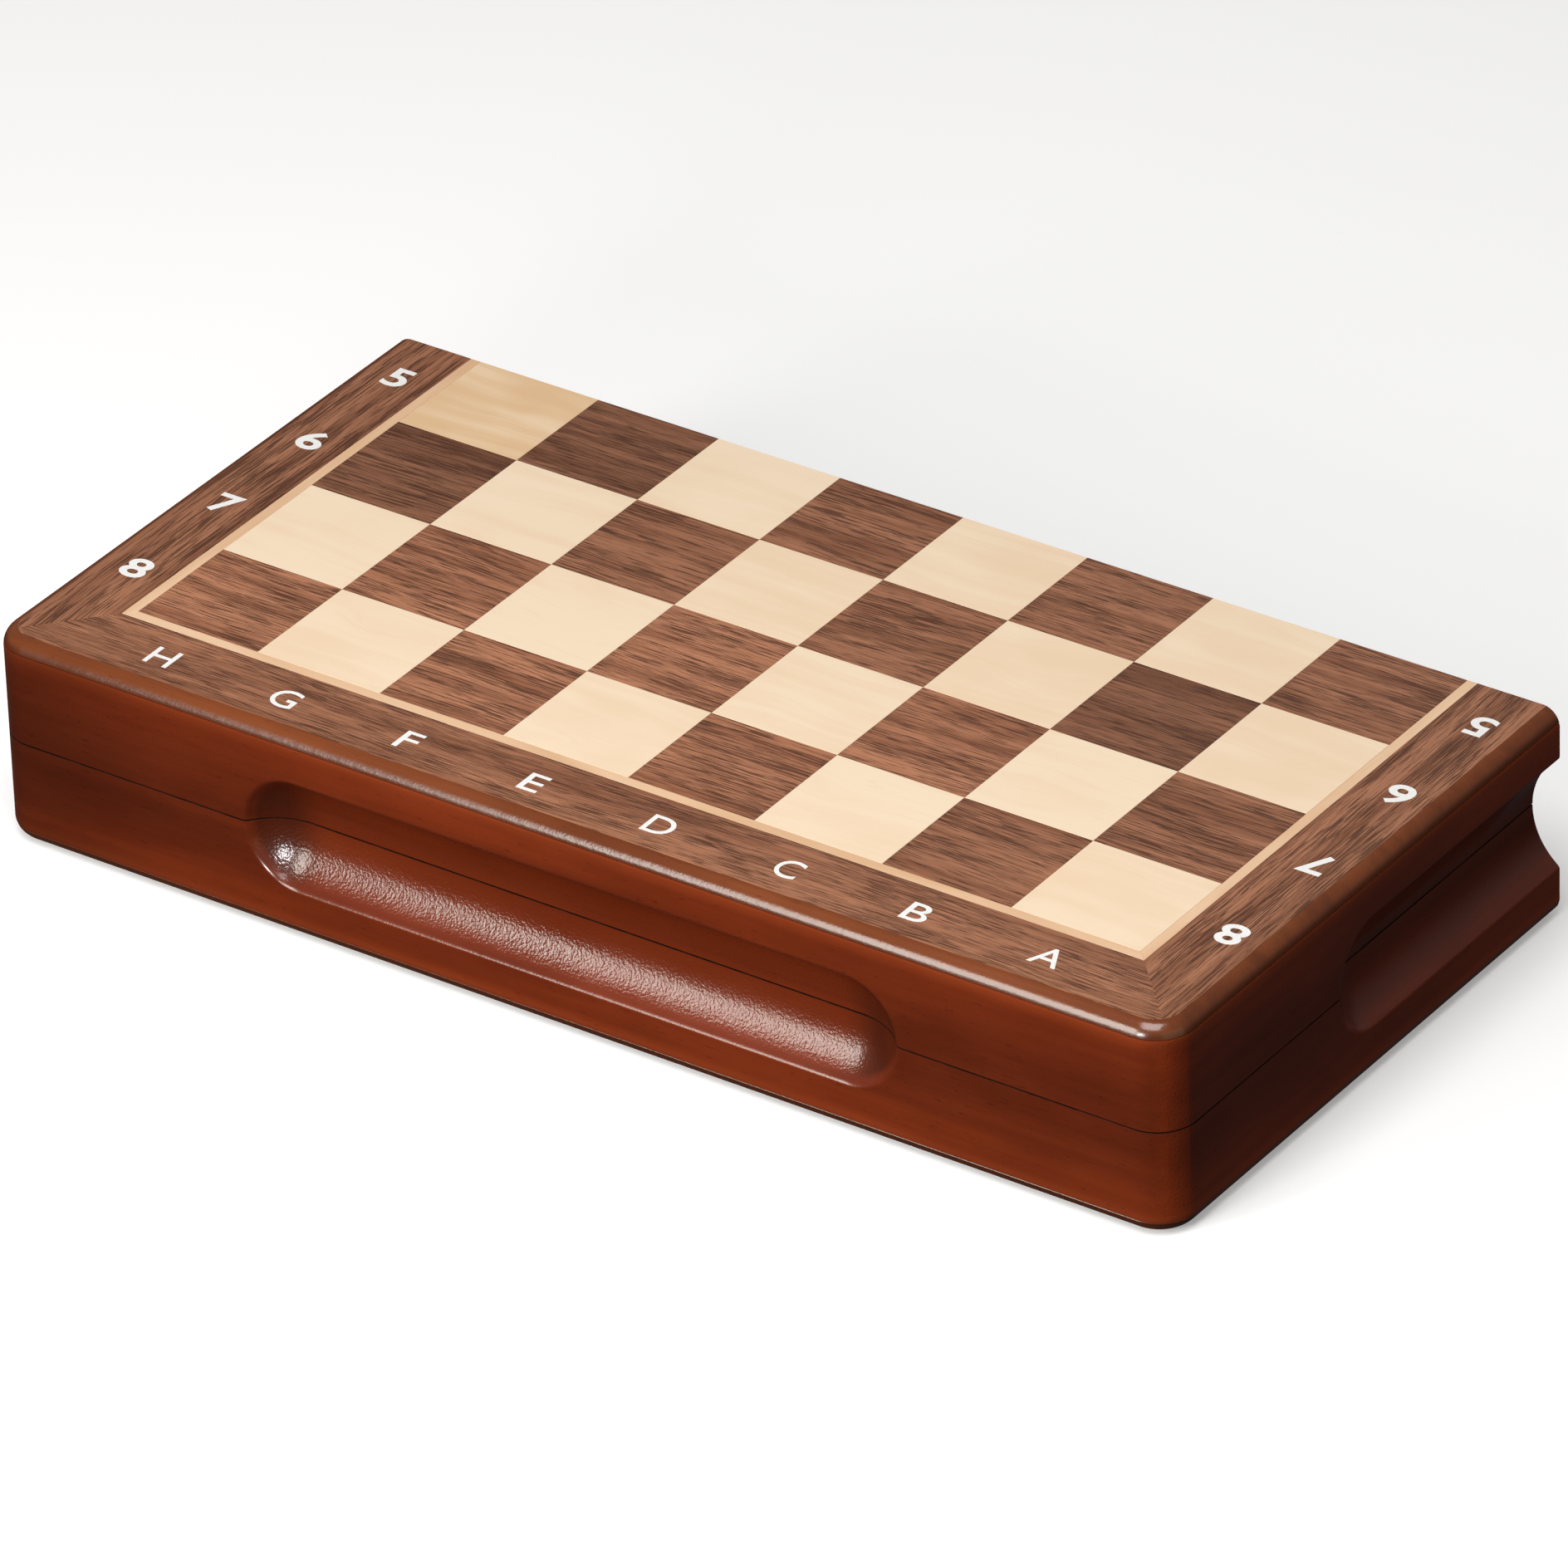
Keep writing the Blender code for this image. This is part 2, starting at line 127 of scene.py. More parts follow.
MITRE_INSET = 3.4
ROW_PITCH = 0.32
FINE, COARSE, LONG, PANEL_PITCH = 0.4, 8, 12, 30


class Half:
    """One tray of the case: its name, which is its CAD body's start, and its direction."""

    def __init__(self, name, colour, up):
        self.name = name
        self.body = f"{name}_half"
        self.colour = colour
        self.up = up

    def z(self, depth):
        return SEAM + self.up * depth


LOWER = Half("lower", "white", -1)
UPPER = Half("upper", "black", 1)
HALVES = (LOWER, UPPER)
SIDES = ((-1, "left"), (1, "right"))


# Node trees -------------------------------------------------------------------------------


class Tree:
    """A material's node tree, written as nested calls that return output sockets."""

    def __init__(self, name):
        self.material = bpy.data.materials.new(name)
        self.material.use_nodes = True
        self.nodes = self.material.node_tree.nodes
        self.links = self.material.node_tree.links
        self.shader = self.nodes["Principled BSDF"]

    def feed(self, socket, value):
        """Links an output to an input, or sets the input to a number or colour."""
        if isinstance(value, bpy.types.NodeSocket):
            self.links.new(value, socket)
        elif isinstance(value, tuple) and len(value) == 3 and socket.type == "RGBA":
            socket.default_value = (*value, 1)
        else:
            socket.default_value = value

    def node(self, kind, inputs, **settings):
        """A new node of a kind, with its settings, and its inputs by name or number."""
        made = self.nodes.new(f"ShaderNode{kind}")
        for key, value in settings.items():
            setattr(made, key, value)
        for key, value in inputs.items():
            self.feed(made.inputs[key], value)
        return made

    def grain(self):
        """A point's place in its plank, in millimetres."""
        return self.node("Attribute", {}, attribute_name="grain").outputs["Vector"]

    def place(self):
        """A point's place in the part, in millimetres, for meshes without a grain."""
        found = self.node("TexCoord", {}).outputs["Object"]
        return self.scaled(found, (1 / MM, 1 / MM, 1 / MM))

    def scaled(self, vector, factors):
        inputs = {0: vector, 1: factors}
        return self.node("VectorMath", inputs, operation="MULTIPLY").outputs["Vector"]

    def moved(self, vector, offset):
        inputs = {0: vector, 1: offset}
        return self.node("VectorMath", inputs, operation="ADD").outputs["Vector"]

    def noise(self, vector, size, detail=2.0, roughness=0.5):
        """Cloudy noise from 0 to 1, whose features are size millimetres along each axis."""
        scale = tuple(1 / length for length in size)
        inputs = {"Vector": self.scaled(vector, scale), "Scale": 1.0, "Detail": detail,
                  "Roughness": roughness}
        return self.node("TexNoise", inputs).outputs["Fac"]

    def wander(self, grain, size, reach):
        """A place in the wood, moved sideways by slow noise of up to reach millimetres."""
        drift = self.times(self.noise(grain, size, 2), reach)
        return self.moved(grain, self.node("CombineXYZ", {"Y": drift}).outputs[0])

    def maths(self, operation, *values):
        inputs = dict(enumerate(values))
        return self.node("Math", inputs, operation=operation).outputs["Value"]

    def times(self, first, second):
        return self.maths("MULTIPLY", first, second)

    def minus(self, first, second):
        return self.maths("SUBTRACT", first, second)

    def spread(self, value, low, high, to_low=0.0, to_high=1.0):
        """Value from low to high, mapped smoothly to the other pair and held there."""
        inputs = {"Value": value, "From Min": low, "From Max": high, "To Min": to_low,
                  "To Max": to_high}
        made = self.node("MapRange", inputs, interpolation_type="SMOOTHSTEP", clamp=True)
        return made.outputs["Result"]

    def mix(self, share, first, second):
        """The first colour, with the given share of the second."""
        inputs = {"Factor": share, 6: first, 7: second}
        return self.node("Mix", inputs, data_type="RGBA", clamp_factor=True).outputs[2]

    def bump(self, height, distance, normal=None, strength=1.0):
        """A bump of distance millimetres for a height from 0 to 1."""
        inputs = {"Height": height, "Distance": distance * MM, "Strength": strength}
        if normal:
            inputs["Normal"] = normal
        return self.node("Bump", inputs).outputs["Normal"]

    def finish(self, **inputs):
        """Feeds the shader, whose input names are given with _ for spaces."""
        for key, value in inputs.items():
            self.feed(self.shader.inputs[key.replace("_", " ")], value)
        return self.material


# Materials --------------------------------------------------------------------------------

# Black, which the rails' painted shade is mixed towards.
BLACK = (0.0, 0.0, 0.0)


def toned(colour, share):
    """A colour made darker, or paler where the share is above one."""
    return tuple(share * value for value in colour)


def walnut(name, shade):
    """Brown veneer: soft bands that wander along the board, fine fibres and dark pores."""
    dark, light = toned((0.205, 0.079, 0.040), shade), toned((0.355, 0.153, 0.083), shade)
    tree = Tree(name)
    grain = tree.wander(tree.grain(), (120, 60, 60), 7.0)
    bands = tree.noise(grain, (190, 5.5, 5.5), 3, 0.6)
    lines = tree.noise(grain, (80, 0.8, 0.8), 2, 0.55)
    fibres = tree.noise(grain, (22, 0.45, 0.45), 3, 0.65)
    pores = tree.noise(grain, (12.0, 0.32, 0.32), 2, 0.5)
    clusters = tree.noise(grain, (40, 5, 5), 2, 0.5)
    colour = tree.mix(tree.spread(bands, 0.32, 0.62), dark, light)
    colour = tree.mix(tree.spread(lines, 0.38, 0.56, 0.20, 0.0), colour, toned((0.135, 0.050, 0.026), shade))
    colour = tree.mix(tree.spread(fibres, 0.46, 0.66, 0.0, 0.30), colour, toned((0.46, 0.21, 0.12), shade))
    low_pore = tree.spread(clusters, 0.35, 0.65, 0.425, 0.535)
    pore = tree.spread(tree.minus(low_pore, pores), 0.0, 0.04)
    colour = tree.mix(tree.times(pore, 0.80), colour, (0.062, 0.023, 0.013))
    rough = tree.spread(fibres, 0.3, 0.7, 0.40, 0.50)
    normal = tree.bump(tree.minus(1.0, pore), 0.03)
    return tree.finish(Base_Color=colour, Roughness=rough, Normal=normal, Specular_IOR_Level=0.16)


def maple(name, light, dark, figure):
    """Pale veneer: faint bands, fine flecks and a little cloudy figure."""
    tree = Tree(name)
    grain = tree.wander(tree.grain(), (70, 30, 30), 22.0)
    bands = tree.noise(grain, (140, 5.0, 5.0), 3, 0.5)
    clouds = tree.noise(grain, (34, 20, 20), 2)
    plank = tree.noise(grain, (500, 260, 260), 1)
    flecks = tree.noise(grain, (3.2, 0.5, 0.5), 2, 0.6)
    tone = tree.maths("ADD", tree.times(bands, 0.5), tree.times(clouds, 0.5))
    tone = tree.maths("ADD", tone, tree.times(plank, 0.6))
    colour = tree.mix(tree.spread(tone, 0.62, 1.0), light, dark)
    ring = tree.spread(tree.maths("ABSOLUTE", tree.minus(bands, 0.52)), 0.0, 0.018, 1.0, 0.0)
    colour = tree.mix(tree.times(ring, figure), colour, dark)
    colour = tree.mix(tree.times(tree.spread(flecks, 0.58, 0.72), 0.22), colour, dark)
    rough = tree.spread(flecks, 0.3, 0.7, 0.40, 0.48)
    normal = tree.bump(flecks, 0.008)
    return tree.finish(Base_Color=colour, Roughness=rough, Normal=normal, Specular_IOR_Level=0.25)


def stained(name, coordinates, light, dark):
    """Stained hardwood with a quiet figure: its tree, its clouds and its colour."""
    tree = Tree(name)
    grain = tree.grain() if coordinates == "grain" else tree.place()
    clouds = tree.noise(grain, (60, 22, 22), 3, 0.55)
    bands = tree.noise(grain, (150, 4.5, 4.5), 3, 0.55)
    fibres = tree.noise(grain, (14, 0.5, 0.5), 2, 0.6)
    specks = tree.noise(grain, (3.6, 0.45, 0.45), 2, 0.5)
    tone = tree.maths("ADD", tree.times(clouds, 0.6), tree.times(bands, 0.4))
    colour = tree.mix(tree.spread(tone, 0.32, 0.68), dark, light)
    colour = tree.mix(tree.spread(fibres, 0.35, 0.70, 0.0, 0.18), colour, dark)
    colour = tree.mix(tree.spread(specks, 0.66, 0.74, 0.0, 0.55), colour, toned(dark, 0.3))
    return tree, clouds, colour


def lacquered(tree, clouds, colour, relief):
    """A gloss lacquer over a stained wood, with orange peel of the given relief."""
    place = tree.place()
    peel = tree.noise(place, (0.75, 0.75, 0.75), 1, 0.5)
    waves = tree.noise(place, (3.5, 3.5, 3.5), 1, 0.5)
    normal = tree.bump(waves, 0.04, tree.bump(peel, 0.075, strength=relief))
    rough = tree.spread(clouds, 0.3, 0.7, 0.18, 0.24)
    return tree.finish(Base_Color=colour, Roughness=rough, Normal=normal, Specular_IOR_Level=0.7)


def stained_rail():
    """The rails: paler towards the panel, with painted shade at the seam and the left, and darker at the
    groove's ends.
    """
    tree, clouds, colour = stained("stained_wood", "grain", *STAIN)
    axes = tree.node("SeparateXYZ", {0: tree.place()}).outputs
    depth = tree.maths("ABSOLUTE", tree.minus(axes["Z"], SEAM))
    # Painted shade: the rails are mixed towards black nearer the seam.
    colour = tree.mix(tree.spread(depth, 6.0, 25.0, 0.36, 0.0), colour, BLACK)
    colour = tree.mix(tree.spread(depth, 23.0, 27.5, 0.0, 0.30), colour, (0.330, 0.060, 0.015))
    # Painted shade: the left end of the case is mixed towards black, as if further from the light.
    colour = tree.mix(tree.spread(axes["X"], -185.0, -105.0, 0.45, 0.0), colour, BLACK)
    inset = tree.minus(axes["Y"], FRONT)
    in_groove = tree.minus(tree.spread(inset, 0.8, 3.0), tree.spread(inset, 8.6, 9.2))
    along = tree.minus(tree.maths("ABSOLUTE", axes["X"]), FRONT_GROOVE_REACH)
    at_end = tree.minus(tree.spread(along, -6.0, 8.0), tree.spread(along, 22.0, 28.0))
    colour = tree.mix(tree.times(in_groove, 0.20), colour, (0.300, 0.040, 0.006))
    # Darker towards the groove's rounded ends.
    groove_end_darkening = tree.times(tree.times(in_groove, at_end), 0.7)
    colour = tree.mix(groove_end_darkening, colour, (0.030, 0.006, 0.002))
    relief = tree.maths("ADD", 0.3, tree.times(in_groove, 1.1))
    return lacquered(tree, clouds, colour, relief)


def stained_panel():
    """The panel's edge: umber where it meets the rails, amber under the veneers."""
    tree, clouds, colour = stained("panel_core", "grain", *AMBER)
    height = tree.node("SeparateXYZ", {0: tree.place()}).outputs["Z"]
    depth = tree.maths("ABSOLUTE", tree.minus(height, SEAM))
    colour = tree.mix(tree.spread(depth, 28.4, 30.2, 0.85, 0.0), colour, UMBER)
    return lacquered(tree, clouds, colour, 0.3)


def seam_shade():
    """Painted shade: a dark matt strip on the rails' rims at the seam, where the gap between the halves lies
    in shadow.
    """
    tree = Tree("seam_shade")
    cover = tree.noise(tree.place(), (6, 6, 2), 2, 0.5)
    colour = tree.mix(tree.spread(cover, 0.35, 0.70), (0.012, 0.004, 0.002), (0.045, 0.010, 0.004))
    rough = tree.spread(cover, 0.3, 0.7, 0.80, 0.60)
    return tree.finish(Base_Color=colour, Roughness=rough, Specular_IOR_Level=0.1)


def turned_wood(name, light, dark, roughness):
    """The polished wood of the men: growth lines along the man and a satin lacquer."""
    tree = Tree(name)
    grain = tree.grain()
    bands = tree.noise(grain, (90, 3.4, 3.4), 3, 0.5)
    flecks = tree.noise(grain, (2.6, 0.4, 0.4), 2, 0.6)
    colour = tree.mix(tree.spread(bands, 0.36, 0.64), light, dark)
    colour = tree.mix(tree.spread(flecks, 0.56, 0.72, 0.0, 0.35), colour, dark)
    rough = tree.spread(bands, 0.3, 0.7, roughness, roughness + 0.08)
    normal = tree.bump(flecks, 0.01)
    return tree.finish(Base_Color=colour, Roughness=rough, Normal=normal, Specular_IOR_Level=0.4)


def flock(name, light, dark):
    """Short dense pile: cloudy lie of the pile, fine fibre ends, and a soft sheen."""
    tree = Tree(name)
    place = tree.place()
    lie = tree.noise(place, (16, 11, 11), 3, 0.55)
    fibres = tree.noise(place, (0.28, 0.28, 0.28), 2, 0.7)
    colour = tree.mix(tree.spread(lie, 0.35, 0.65), dark, light)
    colour = tree.mix(tree.spread(fibres, 0.40, 0.66, 0.0, 0.55), colour, toned(light, 1.9))
    normal = tree.bump(fibres, 0.12)
    rough = tree.spread(lie, 0.3, 0.7, 0.90, 1.0)
    return tree.finish(Base_Color=colour, Roughness=rough, Normal=normal, Sheen_Weight=0.35,
                       Sheen_Roughness=0.5, Sheen_Tint=(0.25, 0.62, 0.40), Specular_IOR_Level=0.1)


def brushed_metal(name, light, dark, roughness):
    """Metal with fine draw lines along X and a little tarnish."""
    tree = Tree(name)
    place = tree.place()
    lines = tree.noise(place, (24, 0.2, 0.2), 1, 0.5)
    tarnish = tree.noise(place, (7, 5, 5), 3, 0.6)
    colour = tree.mix(tree.spread(tarnish, 0.35, 0.70), light, dark)
    rough = tree.maths("ADD", roughness, tree.spread(lines, 0.3, 0.7, 0.0, 0.08))
    normal = tree.bump(lines, 0.002)
    return tree.finish(Base_Color=colour, Roughness=rough, Normal=normal, Metallic=1.0)


def print_ink():
    """White screen print with slightly uneven cover."""
    tree = Tree("white_print")
    cover = tree.noise(tree.place(), (0.7, 0.7, 0.7), 3, 0.6)
    colour = tree.mix(tree.spread(cover, 0.35, 0.70), (0.88, 0.875, 0.865), (0.80, 0.79, 0.77))
    rough = tree.spread(cover, 0.3, 0.7, 0.42, 0.55)
    return tree.finish(Base_Color=colour, Roughness=rough, Specular_IOR_Level=0.3)


STAIN = ((0.210, 0.0305, 0.0066), (0.137, 0.0190, 0.0044))
AMBER = ((0.200, 0.049, 0.011), (0.125, 0.029, 0.007))
UMBER = (0.080, 0.018, 0.005)

WALNUT = walnut("walnut_veneer", 1.0)
PALE_WALNUT = walnut("pale_walnut_veneer", 1.28)
DARK_WALNUT = walnut("dark_walnut_veneer", 0.74)
MAPLE = maple("maple_veneer", (0.875, 0.700, 0.515), (0.830, 0.630, 0.435), 0.40)
WARM_MAPLE = maple("warm_maple_veneer", (0.860, 0.670, 0.470), (0.730, 0.490, 0.280), 0.55)
STRINGING = maple("maple_stringing", (0.790, 0.540, 0.350), (0.690, 0.430, 0.250), 0.15)
RAIL = stained_rail()
HINGE_RAIL = lacquered(*stained("stained_hinge_rail", "place", *STAIN), 0.3)
PANEL = stained_panel()
SEAM_SHADE = seam_shade()
BOXWOOD = turned_wood("boxwood", (0.760, 0.520, 0.250), (0.560, 0.320, 0.120), 0.24)
EBONISED = turned_wood("ebonised_wood", (0.030, 0.017, 0.012), (0.014, 0.009, 0.007), 0.22)
GREEN_FLOCK = flock("green_flock", (0.020, 0.085, 0.042), (0.010, 0.050, 0.024))
BRASS = brushed_metal("brass", (0.80, 0.58, 0.24), (0.62, 0.40, 0.14), 0.24)
FELT = flock("pad_felt", (0.030, 0.110, 0.055), (0.018, 0.070, 0.034))
STEEL = brushed_metal("magnet_steel", (0.62, 0.62, 0.63), (0.46, 0.46, 0.48), 0.22)
INK = print_ink()


# Mesh building ----------------------------------------------------------------------------


def grain_along(axis):
    """Wood coordinates for a piece whose fibres run along an axis, cut from a random plank."""
    order = {"X": (0, 1, 2), "Y": (1, 0, 2), "Z": (2, 0, 1)}[axis]
    spot = RANDOM.uniform(0, 6000, 3)
    return lambda points: points[:, order] + spot


class Shape:
    """A mesh in the making: points in millimetres, their place in the wood, and faces."""

    def __init__(self):
        self.points = []
        self.grain = []
        self.faces = []
        self.finishes = []
        self.count = 0

    def add_points(self, points, grain):
        """Adds an array of points, and gives the array of their numbers."""
        flat = np.asarray(points, float).reshape(-1, 3)
        self.points.append(flat)
        self.grain.append(grain(flat))
        numbers = self.count + np.arange(len(flat))
        self.count += len(flat)
        return numbers.reshape(np.shape(points)[:-1])

    def add_faces(self, faces, finish=0):
        """Adds faces, as lists of point numbers, all with one finish."""
        self.faces.extend(faces)
        self.finishes.extend([finish] * len(faces))

    def sheet(self, numbers, finish=0, round_and_round=False):
        """Quads between the rows of a table of point numbers, with one finish or one a column."""
        following = np.roll(numbers, -1, axis=1)
        if not round_and_round:
            numbers, following = numbers[:, :-1], following[:, :-1]
        corners = np.stack((numbers[:-1], following[:-1], following[1:], numbers[1:]), axis=-1)
        self.faces.extend(corners.reshape(-1, 4).tolist())
        self.finishes.extend(np.broadcast_to(finish, corners.shape[:2]).ravel().tolist())

    def loft(self, rings, grain, finish=0):
        """A solid through rings of points, with its two ends closed."""
        numbers = self.add_points(rings, grain)
        self.sheet(numbers, finish, round_and_round=True)
        self.add_faces([numbers[0][::-1].tolist(), numbers[-1].tolist()])

    def mesh(self, name, finishes, crease=35):
        """The mesh in metres, with outward faces and its edges sharp above an angle."""
        mesh = bpy.data.meshes.new(name)
        mesh.from_pydata((np.concatenate(self.points) * MM).tolist(), [], self.faces)
        for finish in finishes:
            mesh.materials.append(finish)
        mesh.polygons.foreach_set("material_index", self.finishes)
        attribute = mesh.attributes.new("grain", "FLOAT_VECTOR", "POINT")
        attribute.data.foreach_set("vector", np.concatenate(self.grain).astype(np.float32).ravel())
        turn_outwards(mesh)
        mesh.shade_smooth()
        mesh.set_sharp_from_angle(angle=math.radians(crease))
        return mesh


def turn_outwards(mesh):
    """Makes a closed mesh's faces look outwards."""
    shape = bmesh.new()
    shape.from_mesh(mesh)
    bmesh.ops.recalc_face_normals(shape, faces=shape.faces)
    shape.to_mesh(mesh)
    shape.free()


def held(name, data):
    """An object in the scene that holds a mesh, a lamp or a camera."""
    holder = bpy.data.objects.new(name, data)
    bpy.context.scene.collection.objects.link(holder)
    return holder


def add_piece(name, mesh, body, slot, stands_for=(), location=(0, 0, 0), turn=(0, 0, 0)):
    """Puts a mesh in the scene as a piece of the object, riding on a CAD body."""
    piece = held(name, mesh)
    piece.location = Vector(location) * MM
    piece.rotation_euler = turn
    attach(piece, body)
    if stands_for:
        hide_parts(*stands_for)


def stand_in(shape, half, part, word, finish, crease=35):
    """Adds a shape of one finish in place of the CAD node of a half's part."""
    node = f"{half.name}_{part}"
    mesh = shape.mesh(node, [finish], crease)
    add_piece(f"{node}_{word}", mesh, half.body, slot_of(finish), [node])


def slot_of(finish):
    """The record's slot that a material is named after, without the number Blender adds."""
    return finish.name.split(".")[0]


def finished(mesh, finish, crease):
    """A mesh in one material, smooth but for the edges sharper than crease degrees."""
    dress(mesh, finish)
    mesh.shade_smooth()
    mesh.set_sharp_from_angle(angle=math.radians(crease))
    return mesh


def dress(mesh, finish):
    """Gives a mesh one material in place of any it has."""
    mesh.materials.clear()
    mesh.materials.append(finish)


def points_of(x, y, z):
    """Points from three coordinates, any of which may be one value for all the points."""
    return np.stack(np.broadcast_arrays(x, y, z), axis=-1)


def full_turn(sides):
    """Even angles once round."""
    return np.linspace(0, 2 * math.pi, sides, endpoint=False)


def steps(start, end, spacing):
    """Even values from start to end, about a spacing apart."""
    count = max(1, round(abs(end - start) / spacing))
    return list(np.linspace(start, end, count + 1))


def rectangle(low, high):
    """The corners of a rectangle, given two opposite ones."""
    return [(low[0], low[1]), (high[0], low[1]), (high[0], high[1]), (low[0], high[1])]


# Shares of a quarter round: how far in and how far on, from one face to the next.
QUARTER_ROUND = [(1 - math.cos(angle), 1 - math.sin(angle))
                 for angle in np.linspace(0, 1, 6) * math.pi / 2]


# The outside of the case ------------------------------------------------------------------


def edge_inset(depth):
    """How far the rounded outer edge lies inside the case's face at a depth."""
    rise = depth - (SEAM - EDGE_ROUND)
    return EDGE_ROUND - math.sqrt(max(EDGE_ROUND**2 - rise**2, 0)) if rise > 0 else 0.0


def soft_positive(value, width):
    """The value if positive, else nothing, with a rounded change of the given width."""
    share = min(max(value / width, -1.0), 1.0)
    return max(value, width) - width + width * (share + 1) ** 2 / 4 if value > -width else 0.0


def groove_inset(overrun, depth):
    """Depth of a ball-nosed groove at a point past its end by overrun, and off its axis."""
    chord = math.sqrt(max(GROOVE_RADIUS**2 - overrun**2 - depth**2, 0)) - GROOVE_STANDOFF
    return soft_positive(chord, GROOVE_LIP)


def rim_inset(depth):
    """The small round on the edge of a rail at the seam."""
    rise = HALF_GAP + SEAM_ROUND - depth
    return SEAM_ROUND - math.sqrt(SEAM_ROUND**2 - rise**2) if rise > 0 else 0.0


def corner_arc(side, start, end, count=12):
    """Stations round a front corner: an outer point and its outward direction."""
    centre = np.array((side * (HALF_X - CORNER_RADIUS), FRONT + CORNER_RADIUS))
    angles = np.radians(np.linspace(start, end, count + 1))
    outwards = [np.array((math.cos(angle), math.sin(angle))) for angle in angles]
    return [(centre + CORNER_RADIUS * direction, direction) for direction in outwards]


def front_stations(places):
    """Stations along the front, from the left mitre to the right one."""
    straight = [(np.array((x, FRONT)), np.array((0.0, -1.0))) for x in places[1:-1]]
    return corner_arc(-1, 225, 270) + straight + corner_arc(1, 270, 315)


def side_stations(side, places):
    """Stations along a side, from the hinge edge to the front mitre."""
    direction = np.array((float(side), 0.0))
    straight = [(np.array((side * HALF_X, y)), direction) for y in places[:-1]]
    start, end = (180, 225) if side < 0 else (360, 315)
    return straight + corner_arc(side, start, end)


def rail_rows():
    """Depths of the rows on a rail's outer face, close together in the rounds."""
    rim = [HALF_GAP + SEAM_ROUND * on for _, on in QUARTER_ROUND][::-1]
    return rim + steps(rim[-1], RAIL_TOP, ROW_PITCH)[1:]


def rail_ring(half, station, inner, overrun):
    """Section of a rail at a station, round from the seam to the panel and back inside."""
    outer, normal = station
    setback = groove_inset(overrun, HALF_GAP) + SEAM_LINE
    ring = [(*(outer - setback * normal), half.z(HALF_GAP))]
    for depth in rail_rows():
        inset = edge_inset(depth) + rim_inset(depth) + groove_inset(overrun, depth)
        ring.append((*(outer - inset * normal), half.z(depth)))
    inner = np.array(inner)
    inward = (inner - outer) / np.linalg.norm(inner - outer)
    ring.append((*inner, half.z(RAIL_TOP)))
    for back, on in QUARTER_ROUND:
        ring.append((*(inner - RIM_ROUND * back * inward), half.z(HALF_GAP + RIM_ROUND * on)))
    return ring


def add_rail(half, word, rings, axis):
    """A rail through its rings, with painted shade on its rim along the outer edge at the seam."""
    shape = Shape()
    # The first faces round each ring, on the rim at the seam, take the painted seam shade.
    dark = len(QUARTER_ROUND)
    plain = len(rings[0]) - dark
    shape.loft(rings, grain_along(axis), [1] * dark + [0] * plain)
    name = f"{half.name}_{word}_rail"
    mesh = shape.mesh(name, [RAIL, SEAM_SHADE])
    add_piece(f"{name}_moulding", mesh, half.body, "stained_wood", [name])


def make_front_rail(half):
    """The grooved front rail, with stations close together at the groove's round ends."""
    end = HALF_X - CORNER_RADIUS
    near, far = FRONT_GROOVE_REACH - 2, FRONT_GROOVE_REACH + 20
    places = (steps(-end, -far, LONG) + steps(-far, -near, FINE)[1:] + steps(-near, near, COARSE)[1:]
              + steps(near, far, FINE)[1:] + steps(far, end, LONG)[1:])
    rings = []
    for station in front_stations(places):
        x = station[0][0]
        inner_x = max(-RAIL_INNER_X, min(RAIL_INNER_X, x * RAIL_INNER_X / (HALF_X - MITRE_INSET)))
        overrun = max(abs(x) - FRONT_GROOVE_REACH, 0)
        rings.append(rail_ring(half, station, (inner_x, RAIL_INNER_FRONT), overrun))
    add_rail(half, "front", rings, "X")


def make_side_rail(half, side, word):
    """A side rail, whose groove is blind at the front and runs out at the hinge edge."""
    near, far = SIDE_GROOVE_START + 2, SIDE_GROOVE_START - 19
    places = (steps(BACK, near, COARSE) + steps(near, far, FINE)[1:]
              + steps(far, FRONT + CORNER_RADIUS, LONG)[1:])
    mitre_y = FRONT + MITRE_INSET
    rings = []
    for station in side_stations(side, places):
        y = station[0][1]
        share = (BACK - y) / (BACK - mitre_y)
        inner_y = max(BACK - share * (BACK - RAIL_INNER_FRONT), RAIL_INNER_FRONT)
        overrun = max(SIDE_GROOVE_START - y, 0)
        rings.append(rail_ring(half, station, (side * RAIL_INNER_X, inner_y), overrun))
    add_rail(half, word, rings, "Y")


def make_panel(half):
    """The panel, whose stained edge shows in the rounded rim, rebated for the veneers."""
    places_x = steps(-(HALF_X - CORNER_RADIUS), HALF_X - CORNER_RADIUS, PANEL_PITCH)
    places_y = steps(BACK, FRONT + CORNER_RADIUS, PANEL_PITCH)
    stations = side_stations(-1, places_y)[:-1] + front_stations(places_x)
    stations += side_stations(1, places_y)[-2::-1]
    low = PANEL_BASE + 0.15
    rows = [(PANEL_BASE, edge_inset(low) + 0.12)]  # eased, as a dark line above the rails
    angles = np.linspace(math.asin((low - SEAM + EDGE_ROUND) / EDGE_ROUND),
                         math.acos(1 - BORDER_INSET / EDGE_ROUND), 14)
    rows += [(SEAM - EDGE_ROUND + EDGE_ROUND * math.sin(angle), EDGE_ROUND * (1 - math.cos(angle)))
             for angle in angles]
    rows.append((VENEER_BASE - JOINT, BORDER_INSET))
    rings = [[(*(outer - inset * normal), half.z(depth)) for outer, normal in stations]
             for depth, inset in rows]
    shape = Shape()
    shape.loft(rings, grain_along("X"))
    stand_in(shape, half, "panel", "board", PANEL)


